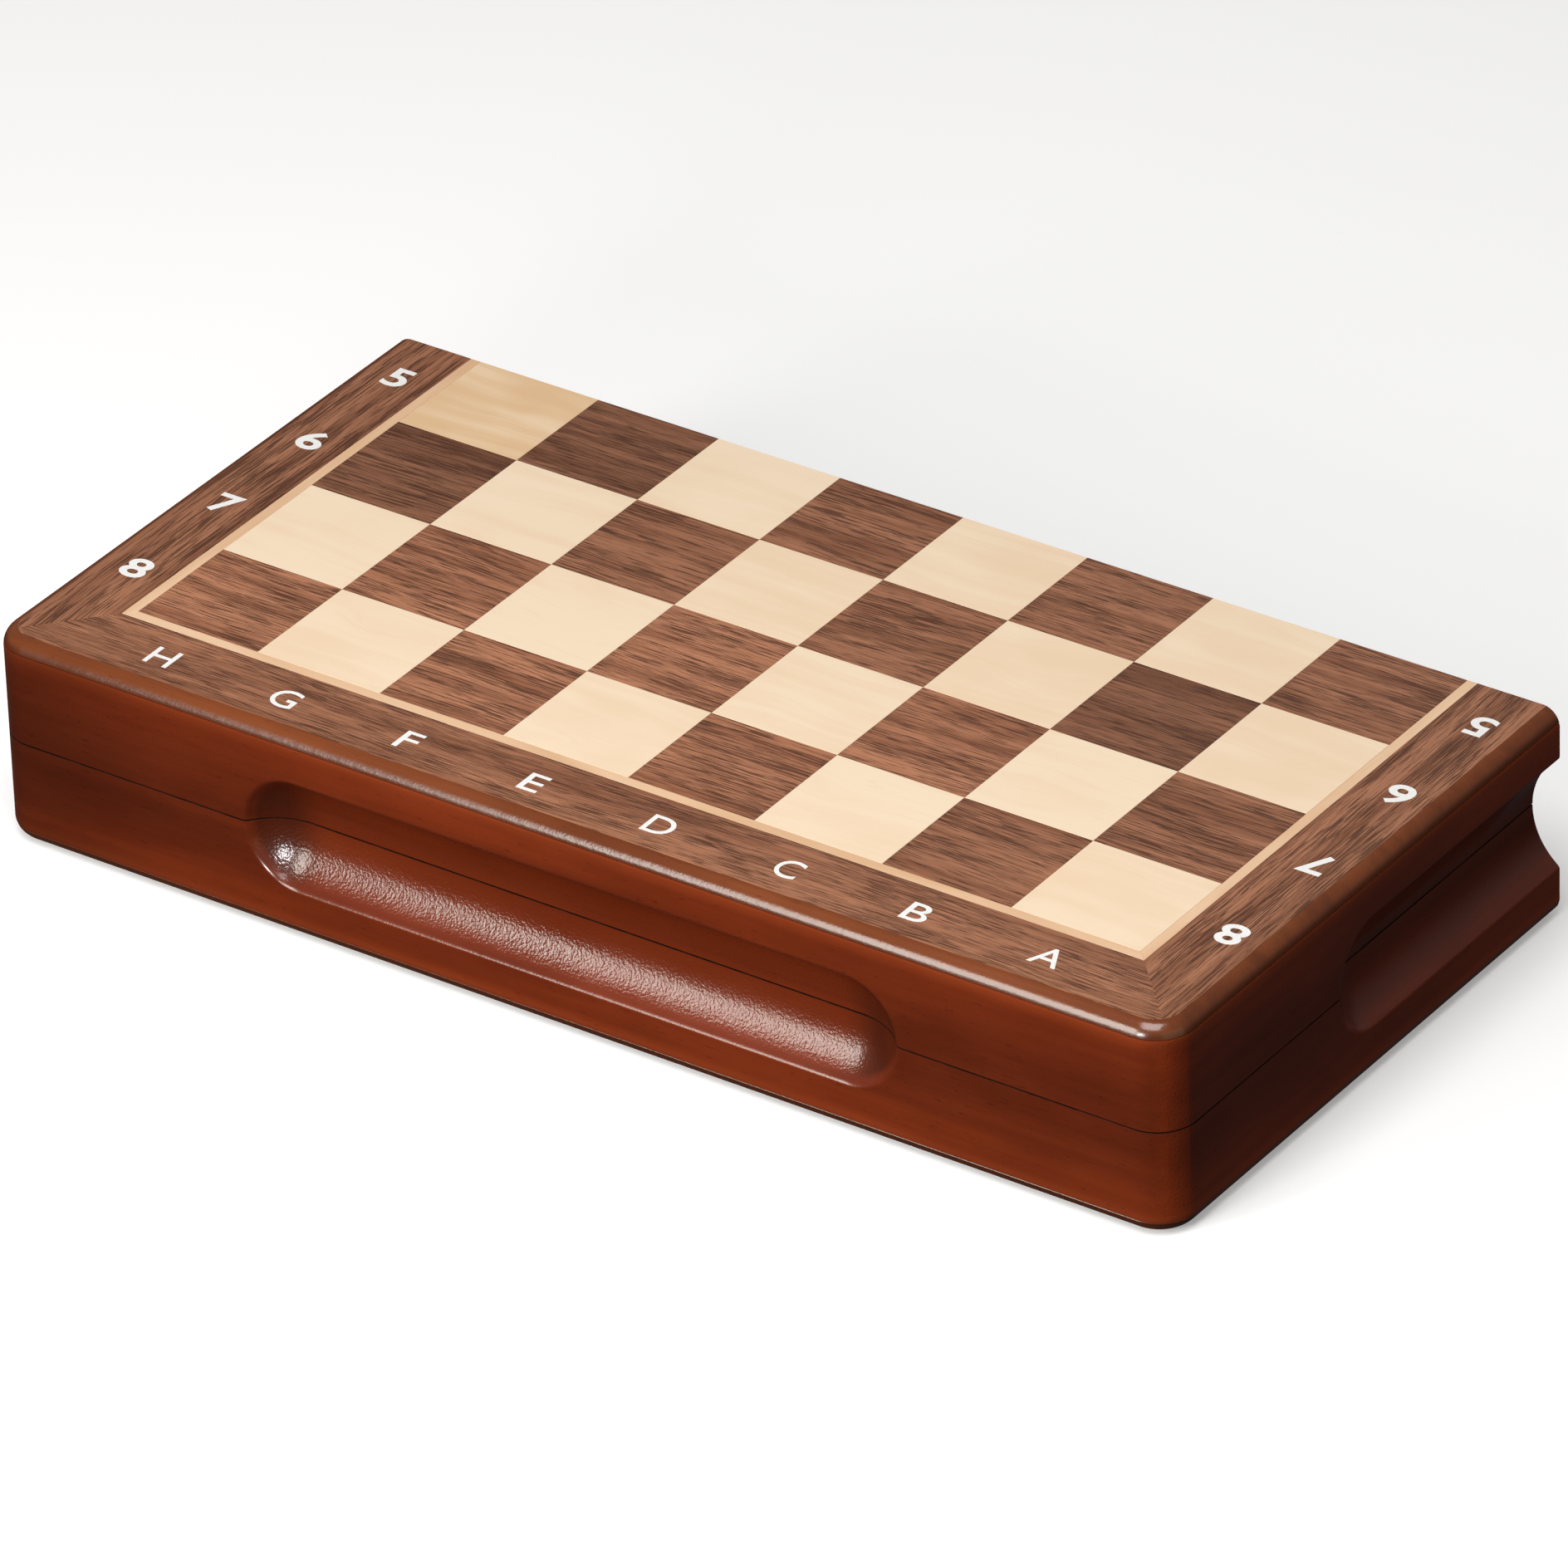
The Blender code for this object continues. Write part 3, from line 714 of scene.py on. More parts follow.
def border_ring(half, station, inner):
    """Section of a border strip: it follows the rounded edge outside and is flat inside."""
    outer, normal = station
    arc_top = min(VENEER_TOP, SEAM - 0.04)
    flat_inset = EDGE_ROUND - math.sqrt(EDGE_ROUND**2 - (arc_top - SEAM + EDGE_ROUND) ** 2)
    ring = [(*(outer - (BORDER_INSET + JOINT) * normal), half.z(VENEER_BASE))]
    for inset in np.linspace(BORDER_INSET + JOINT, flat_inset, 5):
        depth = SEAM - EDGE_ROUND + math.sqrt(EDGE_ROUND**2 - (EDGE_ROUND - inset) ** 2)
        ring.append((*(outer - inset * normal), half.z(min(depth, VENEER_TOP))))
    ring.append((*inner, half.z(VENEER_TOP)))
    ring.append((*inner, half.z(VENEER_BASE)))
    return ring


def make_borders(half):
    """Three walnut strips, mitred at the front corners."""
    inner_x, inner_y = BOARD_HALF_X + STRING_WIDTH + JOINT, BOARD_FRONT - STRING_WIDTH - JOINT
    stations = front_stations(steps(-(HALF_X - CORNER_RADIUS), HALF_X - CORNER_RADIUS, LONG))
    mitre_x = stations[-1][0][0]
    make_border(half, "front", stations, lambda x, y: (inner_x / mitre_x * x, inner_y), "X")
    for side, word in SIDES:
        stations = side_stations(side, steps(BACK, FRONT + CORNER_RADIUS, LONG))
        reach = (BACK - inner_y) / (BACK - stations[-1][0][1])
        make_border(half, word, stations,
                    lambda x, y: (side * inner_x, BACK - reach * (BACK - y)), "Y")


def make_border(half, word, stations, inner, axis):
    """One strip through its stations, with the rule for the inner point opposite an outer one."""
    shape = Shape()
    rings = [border_ring(half, station, inner(*station[0])) for station in stations]
    shape.loft(rings, grain_along(axis))
    stand_in(shape, half, f"border_{word}", "veneer", WALNUT)


def slab(shape, half, corners, grain):
    """A thin flat piece of veneer with its upper edges eased."""
    corners = np.array(corners, float)
    centre = corners.mean(axis=0)
    eased = corners + VENEER_EASE * np.sign(centre - corners)
    layers = ((corners, VENEER_BASE), (corners, VENEER_TOP - VENEER_EASE), (eased, VENEER_TOP))
    rings = [[(x, y, half.z(depth)) for x, y in outline] for outline, depth in layers]
    shape.loft(rings, grain)


def make_stringing(half):
    """The light inlay line: three strips with mitred corners."""
    in_x, in_y = BOARD_HALF_X + JOINT, BOARD_FRONT - JOINT
    out_x, out_y = in_x + STRING_WIDTH - JOINT, in_y - STRING_WIDTH + JOINT
    shape = Shape()
    slab(shape, half, [(-out_x, out_y), (out_x, out_y), (in_x, in_y), (-in_x, in_y)], grain_along("X"))
    for side in (-1, 1):
        strip = [(side * out_x, out_y + JOINT), (side * in_x, in_y + JOINT), (side * in_x, BACK),
                 (side * out_x, BACK)]
        slab(shape, half, strip, grain_along("Y"))
    stand_in(shape, half, "stringing", "inlay", STRINGING)


# Squares whose veneer stands out from its neighbours in the photo.
ODD_VENEERS = {"h5": WARM_MAPLE}
ODD_VENEERS |= dict.fromkeys(("h8", "f8", "d8", "g7", "e7", "c7"), PALE_WALNUT)
ODD_VENEERS |= dict.fromkeys(("h6", "g5", "b6"), DARK_WALNUT)


def rank(half, row):
    """The rank of a row of squares, counted from the front edge of the folded case."""
    return 8 - row if half is UPPER else 1 + row


def make_squares(half):
    """The thirty-two veneer squares, all with their grain along the ranks."""
    for row in range(4):
        low_y = max(RANK_EDGE - (4 - row) * SQUARE, BOARD_FRONT)
        high_y = min(RANK_EDGE - (3 - row) * SQUARE, BACK)
        for column in range(8):
            low_x = max((column - 4) * SQUARE, -BOARD_HALF_X)
            high_x = min((column - 3) * SQUARE, BOARD_HALF_X)
            gap = JOINT / 2
            corners = rectangle((low_x + gap, low_y + gap), (high_x - gap, high_y - gap))
            shape = Shape()
            slab(shape, half, corners, grain_along("X"))
            square = f"{'hgfedcba'[column]}{rank(half, row)}"
            veneer = MAPLE if (column + rank(half, row)) % 2 else WALNUT
            name = f"{half.name}_square_{square}"
            mesh = shape.mesh(name, [ODD_VENEERS.get(square, veneer)])
            add_piece(name, mesh, half.body, slot_of(veneer), [f"{half.name}_chequer_veneer"])


# Printed coordinates ----------------------------------------------------------------------

CAP_SHARE = 0.68
LETTER_HEIGHT, LETTER_WEIGHT = 8.1, 0.004
DIGIT_HEIGHT, DIGIT_WEIGHT = 8.95, 0.020
LETTER_Y = RANK_EDGE - 4 * SQUARE - 13.2
LETTER_PITCH = 40.15
DIGIT_PITCH = 39.78
DIGIT_X = 174.2
PRINT_SHIFT = (0.75, 0.05)
PRINT_SKEW = 0.0031

# How much wider each character is than Blender's own font draws it.
STRETCH = {"A": 1.08, "B": 1.27, "C": 1.0, "D": 1.1, "E": 1.3, "F": 1.3, "G": 1.08, "H": 1.11,
           "1": 1.1, "2": 1.2, "3": 1.2, "4": 1.15, "5": 1.26, "6": 1.3, "7": 1.17, "8": 1.27}


def character_mesh(text, height, weight):
    """A printed character centred on its cap height, lying in the XY plane, in millimetres."""
    curve = bpy.data.curves.new("character", "FONT")
    curve.body = text
    curve.size = height / CAP_SHARE
    curve.offset = weight * curve.size
    curve.extrude = PRINT_THICKNESS / 2
    curve.align_x = "CENTER"
    curve.resolution_u = 5
    holder = bpy.data.objects.new("character", curve)
    mesh = bpy.data.meshes.new_from_object(holder)
    bpy.data.objects.remove(holder)
    shape = bmesh.new()
    shape.from_mesh(mesh)
    bmesh.ops.remove_doubles(shape, verts=shape.verts, dist=1e-4)
    points = np.array([vertex.co for vertex in shape.verts])
    faces = [[vertex.index for vertex in face.verts] for face in shape.faces]
    shape.free()
    points[:, :2] -= (points[:, :2].max(axis=0) + points[:, :2].min(axis=0)) / 2
    return points, faces


def print_character(shape, half, text, place, reading_up, height, weight):
    """Prints a character whose top points along +Y or -Y of the case."""
    points, faces = character_mesh(text, height, weight)
    x = place[0] + PRINT_SHIFT[0] - 0.5 * PRINT_SKEW * place[1]
    y = place[1] + PRINT_SHIFT[1] + PRINT_SKEW * place[0]
    placed = points_of(x + reading_up * half.up * STRETCH[text] * points[:, 0],
                       y + reading_up * points[:, 1],
                       half.z(VENEER_TOP + PRINT_THICKNESS / 2) + points[:, 2])
    first = shape.add_points(placed, lambda flat: flat)[0]
    shape.add_faces([[int(first) + number for number in face] for face in faces])


def make_print(half):
    """File letters along the front and rank numbers on both sides."""
    shape = Shape()
    for column, letter in enumerate("HGFEDCBA"):
        place = ((column - 3.5) * LETTER_PITCH, LETTER_Y)
        print_character(shape, half, letter, place, 1, LETTER_HEIGHT, LETTER_WEIGHT)
    for row in range(4):
        y = RANK_EDGE - 2 * SQUARE + (row - 1.5) * DIGIT_PITCH
        for side, _ in SIDES:
            print_character(shape, half, str(rank(half, row)), (side * DIGIT_X, y), -side * half.up,
                            DIGIT_HEIGHT, DIGIT_WEIGHT)
    name = f"{half.name}_print"
    add_piece(name, shape.mesh(name, [INK]), half.body, "white_print")


# Tray inserts -----------------------------------------------------------------------------

TRAY_HALF_X, TRAY_HALF_Y = cad_high("upper_tray")[:2]
TRAY_TOP = cad_low("upper_tray")[2] - SEAM
TRAY_BASE = cad_high("upper_tray")[2] - SEAM
TROUGH_HALF_X = 162.5
TROUGH_Y = (-3.0, 29.0)
TROUGH_FLOOR = 22.0
POCKET_CLEARANCE = 0.3
POCKET_ROUND = 0.9
WALL = 0.12

# The sixteen men of a side, and each one's kind.
BACK_RANK = ("rook_1", "knight_1", "bishop_1", "queen", "king", "bishop_2", "knight_2", "rook_2")
PAWNS = tuple(f"pawn_{number}" for number in range(1, 9))
ARMY = {name: name.split("_")[0] for name in (*BACK_RANK, *PAWNS)}


def pockets():
    """Every hollow of an insert: middle x, half width, y span and floor, round if it has none."""
    found = [(0.0, TROUGH_HALF_X, *TROUGH_Y, TROUGH_FLOOR)]
    for name, kind in ARMY.items():
        low, high = cad_low(f"black_{name}"), cad_high(f"black_{name}")
        width = MEN[kind]["radius"] + POCKET_CLEARANCE
        found.append(((low[0] + high[0]) / 2, width, low[1] - POCKET_CLEARANCE,
                      high[1] + POCKET_CLEARANCE, None))
    return found


def pocket_lines(middle_values):
    """Grid lines across a hollow's edges, close together where its rim rounds over."""
    rim = -POCKET_ROUND * np.cos(np.linspace(0, math.pi / 2, 6))
    offsets = [-POCKET_ROUND - 0.6, *rim, WALL, 1.0]
    return [edge + side * offset for edge, side in middle_values for offset in offsets]


def tray_lines():
    """Grid lines of an insert along X and along Y."""
    lines_x, lines_y = [-TRAY_HALF_X, TRAY_HALF_X], [-TRAY_HALF_Y, TRAY_HALF_Y]
    for x, width, low, high, floor in pockets():
        lines_x += pocket_lines([(x - width, 1), (x + width, -1)])
        lines_y += pocket_lines([(low, 1), (high, -1)])
        if floor is None:
            lines_x += [x + width * math.sin(angle) for angle in np.linspace(-1.35, 1.35, 19)]
    lines_x += steps(-TRAY_HALF_X, TRAY_HALF_X, 6)
    lines_y += steps(-TRAY_HALF_Y, TRAY_HALF_Y, 6)
    return thinned(lines_x, TRAY_HALF_X), thinned(lines_y, TRAY_HALF_Y)


def thinned(values, limit):
    """Sorted values within a limit, none closer together than the pockets' wall."""
    kept = []
    for value in sorted(values):
        if abs(value) <= limit and (not kept or value - kept[-1] > 0.6 * WALL):
            kept.append(value)
    return np.array(kept)


def tray_surface(grid_x, grid_y):
    """Depth of an insert's surface: level, with round-bottomed pockets and a trough let in."""
    surface = np.full(grid_x.shape, TRAY_TOP)
    for x, width, low, high, floor in pockets():
        across = np.abs(grid_x - x)
        inside = np.minimum.reduce([width - across, grid_y - low, high - grid_y])
        rim = np.clip((inside + POCKET_ROUND) / POCKET_ROUND, 0, 1)
        rounding = TRAY_TOP + POCKET_ROUND * (1 - np.sqrt(1 - rim**2))
        bottom = floor
        if floor is None:
            hollow = np.sqrt(np.clip(width**2 - across**2, 0, None))
            bottom = REST_DEPTH - width + POCKET_CLEARANCE + hollow
        let_in = np.where(inside >= 0.5 * WALL, bottom, rounding)
        surface = np.maximum(surface, let_in)
    return surface


def make_tray(half):
    """The flocked insert, a closed body with a pocket for each man and a finger trough."""
    lines_x, lines_y = tray_lines()
    grid_x, grid_y = np.meshgrid(lines_x, lines_y, indexing="ij")
    surface = half.z(tray_surface(grid_x, grid_y))
    shape = Shape()
    top = shape.add_points(points_of(grid_x, grid_y, surface), grain_along("X"))
    shape.sheet(top)
    rim = np.concatenate((top[:, 0], top[-1, 1:], top[-2::-1, -1], top[0, -2:0:-1]))
    rim_points = np.concatenate(shape.points)[rim]
    rim_points[:, 2] = half.z(TRAY_BASE)
    base = shape.add_points(rim_points, grain_along("X"))
    shape.sheet(np.stack((rim, base)), round_and_round=True)
    shape.add_faces([base.tolist()])
    stand_in(shape, half, "tray", "insert", GREEN_FLOCK, crease=80)


# Chessmen ---------------------------------------------------------------------------------

# Each outline runs up from the base as (radius, height, bow): bow is how far the stretch
# that leads to the point bows outwards, or inwards where it is negative.

REST_DEPTH = 26.15
LATHE_SIDES = 48
MAN_CREASE = 32
CORONET_HEIGHT = 51.1
SLOT_LEAN = 0.75

MEN = {
    "king": {"radius": 12.5, "height": 64, "outline": [
        (5.0, 36.5, -1.4), (5.3, 38.2, 0), (8.6, 39.6, 0.2), (8.8, 40.6, 0.3), (6.6, 41.6, 0),
        (6.9, 43.0, 0.3), (5.0, 43.9, 0.1), (5.2, 44.8, 0), (8.1, 54.0, -0.7), (7.6, 54.8, 0.25),
        (3.0, 57.0, 0.8), (2.2, 57.5, 0), (2.4, 58.3, 0.2), (1.2, 58.9, 0)]},
    "queen": {"radius": 12.5, "height": 58, "outline": [
        (4.6, 33.8, -1.3), (4.9, 35.4, 0), (8.2, 36.7, 0.2), (8.4, 37.7, 0.3), (6.2, 38.6, 0),
        (6.5, 39.9, 0.3), (4.7, 40.8, 0.1), (4.9, 41.6, 0), (7.7, 51.0, -1.0), (6.7, 51.3, 0.1),
        (5.6, 50.6, 0), (2.0, 53.8, 1.1)], "ball": (1.9, 55.9), "points": (9, 0.75)},
    "bishop": {"radius": 11, "height": 50, "outline": [
        (3.9, 28.6, -1.1), (4.2, 29.8, 0), (7.2, 31.0, 0.2), (7.4, 31.9, 0.3), (5.4, 32.8, 0),
        (5.6, 33.8, 0.25), (4.0, 34.6, 0.1), (6.2, 40.4, 0.5), (1.5, 46.6, 0.8)],
        "ball": (1.7, 48.2)},
    "knight": {"radius": 11, "height": 45, "outline": [
        (6.0, 12.6, -0.4), (6.5, 13.4, 0), (8.0, 14.4, 0.2), (8.2, 15.6, 0.3), (7.4, 16.6, 0.1)]},
    "rook": {"radius": 11.5, "height": 40, "outline": [
        (5.5, 24.4, -1.0), (5.8, 25.6, 0), (7.9, 26.8, 0.2), (8.1, 27.8, 0.3), (6.6, 28.8, 0),
        (6.7, 31.0, -0.2), (8.2, 33.4, -0.3), (8.2, 36.6, 0), (5.9, 36.6, 0), (5.7, 35.2, 0)]},
    "pawn": {"radius": 10, "height": 36, "outline": [
        (3.6, 20.2, -0.9), (3.9, 21.2, 0), (6.3, 22.3, 0.2), (6.4, 23.0, 0.25), (4.0, 24.0, 0.1)],
        "ball": (6.1, 29.9)},
}


def foot_outline(radius):
    """The stepped foot that all the men share, in proportion to its radius."""
    shares = [(0.90, 0.05, 0), (0.97, 0.06, 0), (1.0, 0.10, 0.02), (1.0, 0.30, 0.035),
              (0.89, 0.36, 0.01), (0.86, 0.42, 0), (0.70, 0.66, 0.06), (0.62, 0.70, 0),
              (0.62, 0.75, 0.02), (0.57, 0.80, 0)]
    return [(radius * across, radius * up, radius * bow) for across, up, bow in shares]


def bowed(outline, count=6):
    """The points of an outline with its bowed stretches filled in."""
    filled = [outline[0][:2]]
    for (*start, _), (*end, bow) in zip(outline, outline[1:]):
        start, end = np.array(start), np.array(end)
        along = end - start
        outwards = np.array((along[1], -along[0])) / np.linalg.norm(along)
        for share in np.linspace(0, 1, count + 1 if bow else 2)[1:]:
            filled.append(tuple(start + share * along + 4 * bow * share * (1 - share) * outwards))
    return filled


def ball_outline(radius, centre, start_radius):
    """A ball from where it leaves its neck to just short of its top."""
    start = math.asin(min(start_radius / radius, 1)) - math.pi
    angles = np.linspace(start, -0.02, 14)
    return [(radius * abs(math.sin(a)), centre + radius * math.cos(a)) for a in angles]


def turned_man(man):
    """A man's turned body, with the felt pad under its foot."""
    outline = bowed(foot_outline(man["radius"]) + man["outline"])
    if "ball" in man:
        outline += ball_outline(*man["ball"], outline[-1][0] * 0.96)
    angles = full_turn(LATHE_SIDES)
    pad = 0.88 * man["radius"]
    rings = []
    for radius, height in [(pad, 0.0), (pad, outline[0][1]), *outline]:
        lift = ripple(man, radius, height, angles)
        rings.append(points_of(radius * np.cos(angles), radius * np.sin(angles), height + lift))
    shape = Shape()
    numbers = shape.add_points(rings, grain_along("Z"))
    shape.sheet(numbers[:2], 1, round_and_round=True)
    shape.add_faces([numbers[0].tolist()], 1)
    shape.sheet(numbers[1:], 0, round_and_round=True)
    shape.add_faces([numbers[-1].tolist()], 0)
    return shape


def ripple(man, radius, height, angles):
    """The points of a coronet, which stand up from its rim."""
    count, rise = man.get("points", (0, 0))
    on_rim = count and abs(height - CORONET_HEIGHT) < 0.3 and radius > 6
    return rise * np.cos(count * angles) if on_rim else np.zeros_like(angles)


def add_merlons(shape, grain):
    """The six merlons that stand on a rook's rim."""
    inner, outer, low, high, ease = 5.9, 8.2, 36.5, 40.0, 0.3
    section = [(inner, low), (outer, low), (outer, high - ease), (outer - ease, high),
               (inner + ease, high), (inner, high - ease)]
    for middle in range(0, 360, 60):
        rings = [[(radius * math.cos(turn), radius * math.sin(turn), height) for radius, height in section]
                 for turn in np.radians(middle + np.linspace(-20, 20, 7))]
        shape.loft(rings, grain)


def add_cross(shape, grain):
    """The cross on a king, flared at its ends."""
    right = [(0.9, 58.6), (0.6, 60.5), (2.6, 59.9), (2.6, 61.9), (0.6, 61.3), (1.1, 64.0)]
    outline = np.array(right + [(-x, z) for x, z in reversed(right)])
    centre = np.array((0.0, 61.0))
    rings = []
    for y, share in ((-1.3, 0.86), (-1.0, 1.0), (1.0, 1.0), (1.3, 0.86)):
        flat = centre + (outline - centre) * share
        rings.append(points_of(flat[:, 0], y, flat[:, 1]))
    shape.loft(rings, grain)


# The side view of a knight's head and neck, from the bottom of the chest round the muzzle.
HORSE = [(-5.6, 16.4), (5.4, 16.4), (6.6, 18.4), (5.6, 21.4), (3.3, 24.6), (2.2, 27.2),
         (4.2, 27.6), (6.2, 26.6), (8.2, 26.2), (9.7, 27.4), (9.9, 29.4), (8.3, 32.2),
         (6.2, 35.2), (4.2, 38.0), (2.6, 40.2), (1.6, 42.0), (-0.4, 42.4), (-3.4, 41.0),
         (-6.2, 37.6), (-7.9, 32.6), (-8.2, 27.0), (-7.2, 21.4), (-6.4, 18.6)]


def smooth_loop(points, count=5):
    """A closed curve through points, by Catmull-Rom."""
    points = np.array(points, float)
    before, after, beyond = np.roll(points, 1, 0), np.roll(points, -1, 0), np.roll(points, -2, 0)
    shares = np.linspace(0, 1, count, endpoint=False)[:, None, None]
    curve = 0.5 * (2 * points + (after - before) * shares
                   + (2 * before - 5 * points + 4 * after - beyond) * shares**2
                   + (3 * points - before - 3 * after + beyond) * shares**3)
    return curve.transpose(1, 0, 2).reshape(-1, 2)


def add_lump(shape, grain, centre, size, turn=0.0):
    """A rounded lump, such as a cheek or an eye, turned in the horse's side plane."""
    angles = full_turn(16)
    rings = []
    for latitude in np.linspace(0.12, math.pi - 0.12, 9):
        x = size[0] * np.sin(latitude) * np.cos(angles)
        y = size[1] * np.sin(latitude) * np.sin(angles)
        z = size[2] * math.cos(latitude)
        rings.append(points_of(centre[0] + x * math.cos(turn) - z * math.sin(turn), centre[1] + y,
                               centre[2] + x * math.sin(turn) + z * math.cos(turn)))
    shape.loft(rings, grain)


def horse_shape():
    """The parts of a horse's head and neck, before they are blended into one carving."""
    shape = Shape()
    grain = grain_along("Z")
    profile = smooth_loop(HORSE)
    middle = np.array((-0.8, 29.0))
    for turn in np.radians((30, 40, 50, 60, 70, 80)):
        thickness, share = 5.2 * math.sin(turn), 1.06 * math.cos(turn) ** 0.4
        flat = middle + (profile - middle) * share
        shape.loft([points_of(flat[:, 0], y, flat[:, 1]) for y in (-thickness, thickness)], grain)
    add_lump(shape, grain, (0, 0, 17.0), (7.4, 6.6, 2.2))
    add_lump(shape, grain, (1.4, 0, 32.4), (3.9, 5.6, 3.7))
    add_lump(shape, grain, (7.2, 0, 29.2), (2.9, 3.3, 2.6), 0.7)
    for side in (-1, 1):
        add_lump(shape, grain, (-0.2, side * 2.1, 42.4), (1.15, 0.95, 3.0), 0.12)
        add_lump(shape, grain, (3.2, side * 3.5, 36.6), (1.25, 0.8, 0.9), -0.8)
        add_lump(shape, grain, (8.6, side * 2.6, 29.8), (0.7, 0.7, 0.9), -0.6)
    for number in range(9):
        share = number / 8
        x, z = -3.2 - 5.6 * math.sin(share * 2.2), 41.6 - 20.5 * share
        add_lump(shape, grain, (x + 0.6, 0, z), (2.3, 2.1, 1.25), 0.75 - 0.7 * share)
    return shape


def blended(mesh, voxel, rounds):
    """Overlapping lumps made into one skin, and smoothed."""
    holder = held("blend", mesh)
    remesh = holder.modifiers.new("skin", "REMESH")
    remesh.mode = "VOXEL"
    remesh.voxel_size = voxel * MM
    smooth = holder.modifiers.new("smooth", "SMOOTH")
    smooth.factor = 0.5
    smooth.iterations = rounds
    return evaluated(holder)


def evaluated(holder):
    """The mesh that an object's modifiers make. The object is removed."""
    graph = bpy.context.evaluated_depsgraph_get()
    made = bpy.data.meshes.new_from_object(holder.evaluated_get(graph), depsgraph=graph)
    bpy.data.objects.remove(holder)
    return made


def cut(mesh, tool, operation="DIFFERENCE"):
    """A mesh after a Boolean with a tool mesh."""
    target, cutter = held("target", mesh), held("cutter", tool)
    modifier = target.modifiers.new("cut", "BOOLEAN")
    modifier.operation = operation
    modifier.object = cutter
    made = evaluated(target)
    bpy.data.objects.remove(cutter)
    return made


def write_grain(mesh, grain):
    """Gives a finished mesh its place in the wood."""
    points = np.empty(len(mesh.vertices) * 3, np.float32)
    mesh.vertices.foreach_get("co", points)
    found = mesh.attributes.get("grain") or mesh.attributes.new("grain", "FLOAT_VECTOR", "POINT")
    values = grain(points.reshape(-1, 3) / MM)
    found.data.foreach_set("vector", values.astype(np.float32).ravel())


def bishop_slot():
    """The slanting saw cut in a bishop's mitre."""
    cos, sin = math.cos(SLOT_LEAN), math.sin(SLOT_LEAN)
    corners = ((0, -0.55), (9, -0.55), (9, 0.55), (0, 0.55))
    rings = [[(0.6 + out * cos - up * sin, y, 41.6 + out * sin + up * cos) for out, up in corners]
             for y in (-8.0, 8.0)]
    shape = Shape()
    shape.loft(rings, grain_along("Z"))
    return shape.mesh("slot", [])


def man_mesh(kind, finish):
    """One man standing on the origin, in metres."""
    shape = turned_man(MEN[kind])
    if kind == "rook":
        add_merlons(shape, grain_along("Z"))
    if kind == "king":
        add_cross(shape, grain_along("Z"))
    mesh = shape.mesh(kind, [finish, FELT], MAN_CREASE)
    if kind == "bishop":
        mesh = cut(mesh, bishop_slot())
    if kind == "knight":
        head = blended(horse_shape().mesh("horse", []), voxel=0.42, rounds=9)
        dress(head, finish)
        mesh = merged(mesh, head)
    mesh.set_sharp_from_angle(angle=math.radians(MAN_CREASE))
    return mesh


def merged(first, second):
    """Two meshes as one, the second's faces with the first's first material."""
    shape = bmesh.new()
    shape.from_mesh(first)
    shape.from_mesh(second)
    shape.to_mesh(first)
    shape.free()
    first.shade_smooth()
    return first


def make_men(half):
    """Officers lie with their heads towards the hinge, and pawns towards the front."""
    finish, slot = (BOXWOOD, "boxwood") if half is LOWER else (EBONISED, "ebonised_wood")
    meshes = {kind: man_mesh(kind, finish) for kind in MEN}
    for name, kind in ARMY.items():
        node = f"{half.colour}_{name}"
        low, high = cad_low(node), cad_high(node)
        towards_hinge = kind != "pawn"
        base_y = low[1] if towards_hinge else high[1]
        place = ((low[0] + high[0]) / 2, base_y, half.z(REST_DEPTH - MEN[kind]["radius"]))
        turn = (-math.pi / 2 if towards_hinge else math.pi / 2, 0, 0)
        mesh = meshes[kind].copy()
        write_grain(mesh, grain_along("Z"))
        add_piece(f"{node}_piece", mesh, half.body, slot, [node], place, turn)


# Hinges and magnets -----------------------------------------------------------------------

HINGE_X = (cad_low("hinge_pin_right")[0] + cad_high("hinge_pin_right")[0]) / 2
HINGE_REACH = cad_high("hinge_pin_right")[0] - HINGE_X
LEAF_EDGE = cad_low("upper_hinge_leaf_right")[1]
LEAF_DEPTHS = (HALF_GAP, HALF_GAP + 1.0)
KNUCKLE_RADIUS = cad_high("upper_hinge_leaf_right")[1] - HINGE_EDGE
KNUCKLE_SHOULDER = HINGE_REACH - 12.0
KNUCKLE_GAP = 0.3
LEAF_CORNER = 1.6
BORE_RADIUS = 1.2
SCREW_Y = HINGE_EDGE - 7.2
SCREW_SPREAD = 13.0
MAGNET_PLACE = (140.0, -85.75)


def rod_mesh(radius, spans):
    """Rods along the hinge axis between pairs of x places."""
    shape = Shape()
    angles = full_turn(32)
    ease = min(0.2, radius / 8)
    for start, end in spans:
        outline = ((start, radius - ease), (start + ease, radius), (end - ease, radius),
                   (end, radius - ease))
        rings = [points_of(x, HINGE_EDGE + size * np.cos(angles), SEAM + size * np.sin(angles))
                 for x, size in outline]
        shape.loft(rings, grain_along("X"))
    return shape.mesh("rods", [])


def knuckle_spans(x, half):
    """The two end knuckles of a hinge are on the lower leaf, and the middle one on the upper."""
    if half is LOWER:
        return [(x - HINGE_REACH, x - KNUCKLE_SHOULDER), (x + KNUCKLE_SHOULDER, x + HINGE_REACH)]
    return [(x - KNUCKLE_SHOULDER + KNUCKLE_GAP, x + KNUCKLE_SHOULDER - KNUCKLE_GAP)]


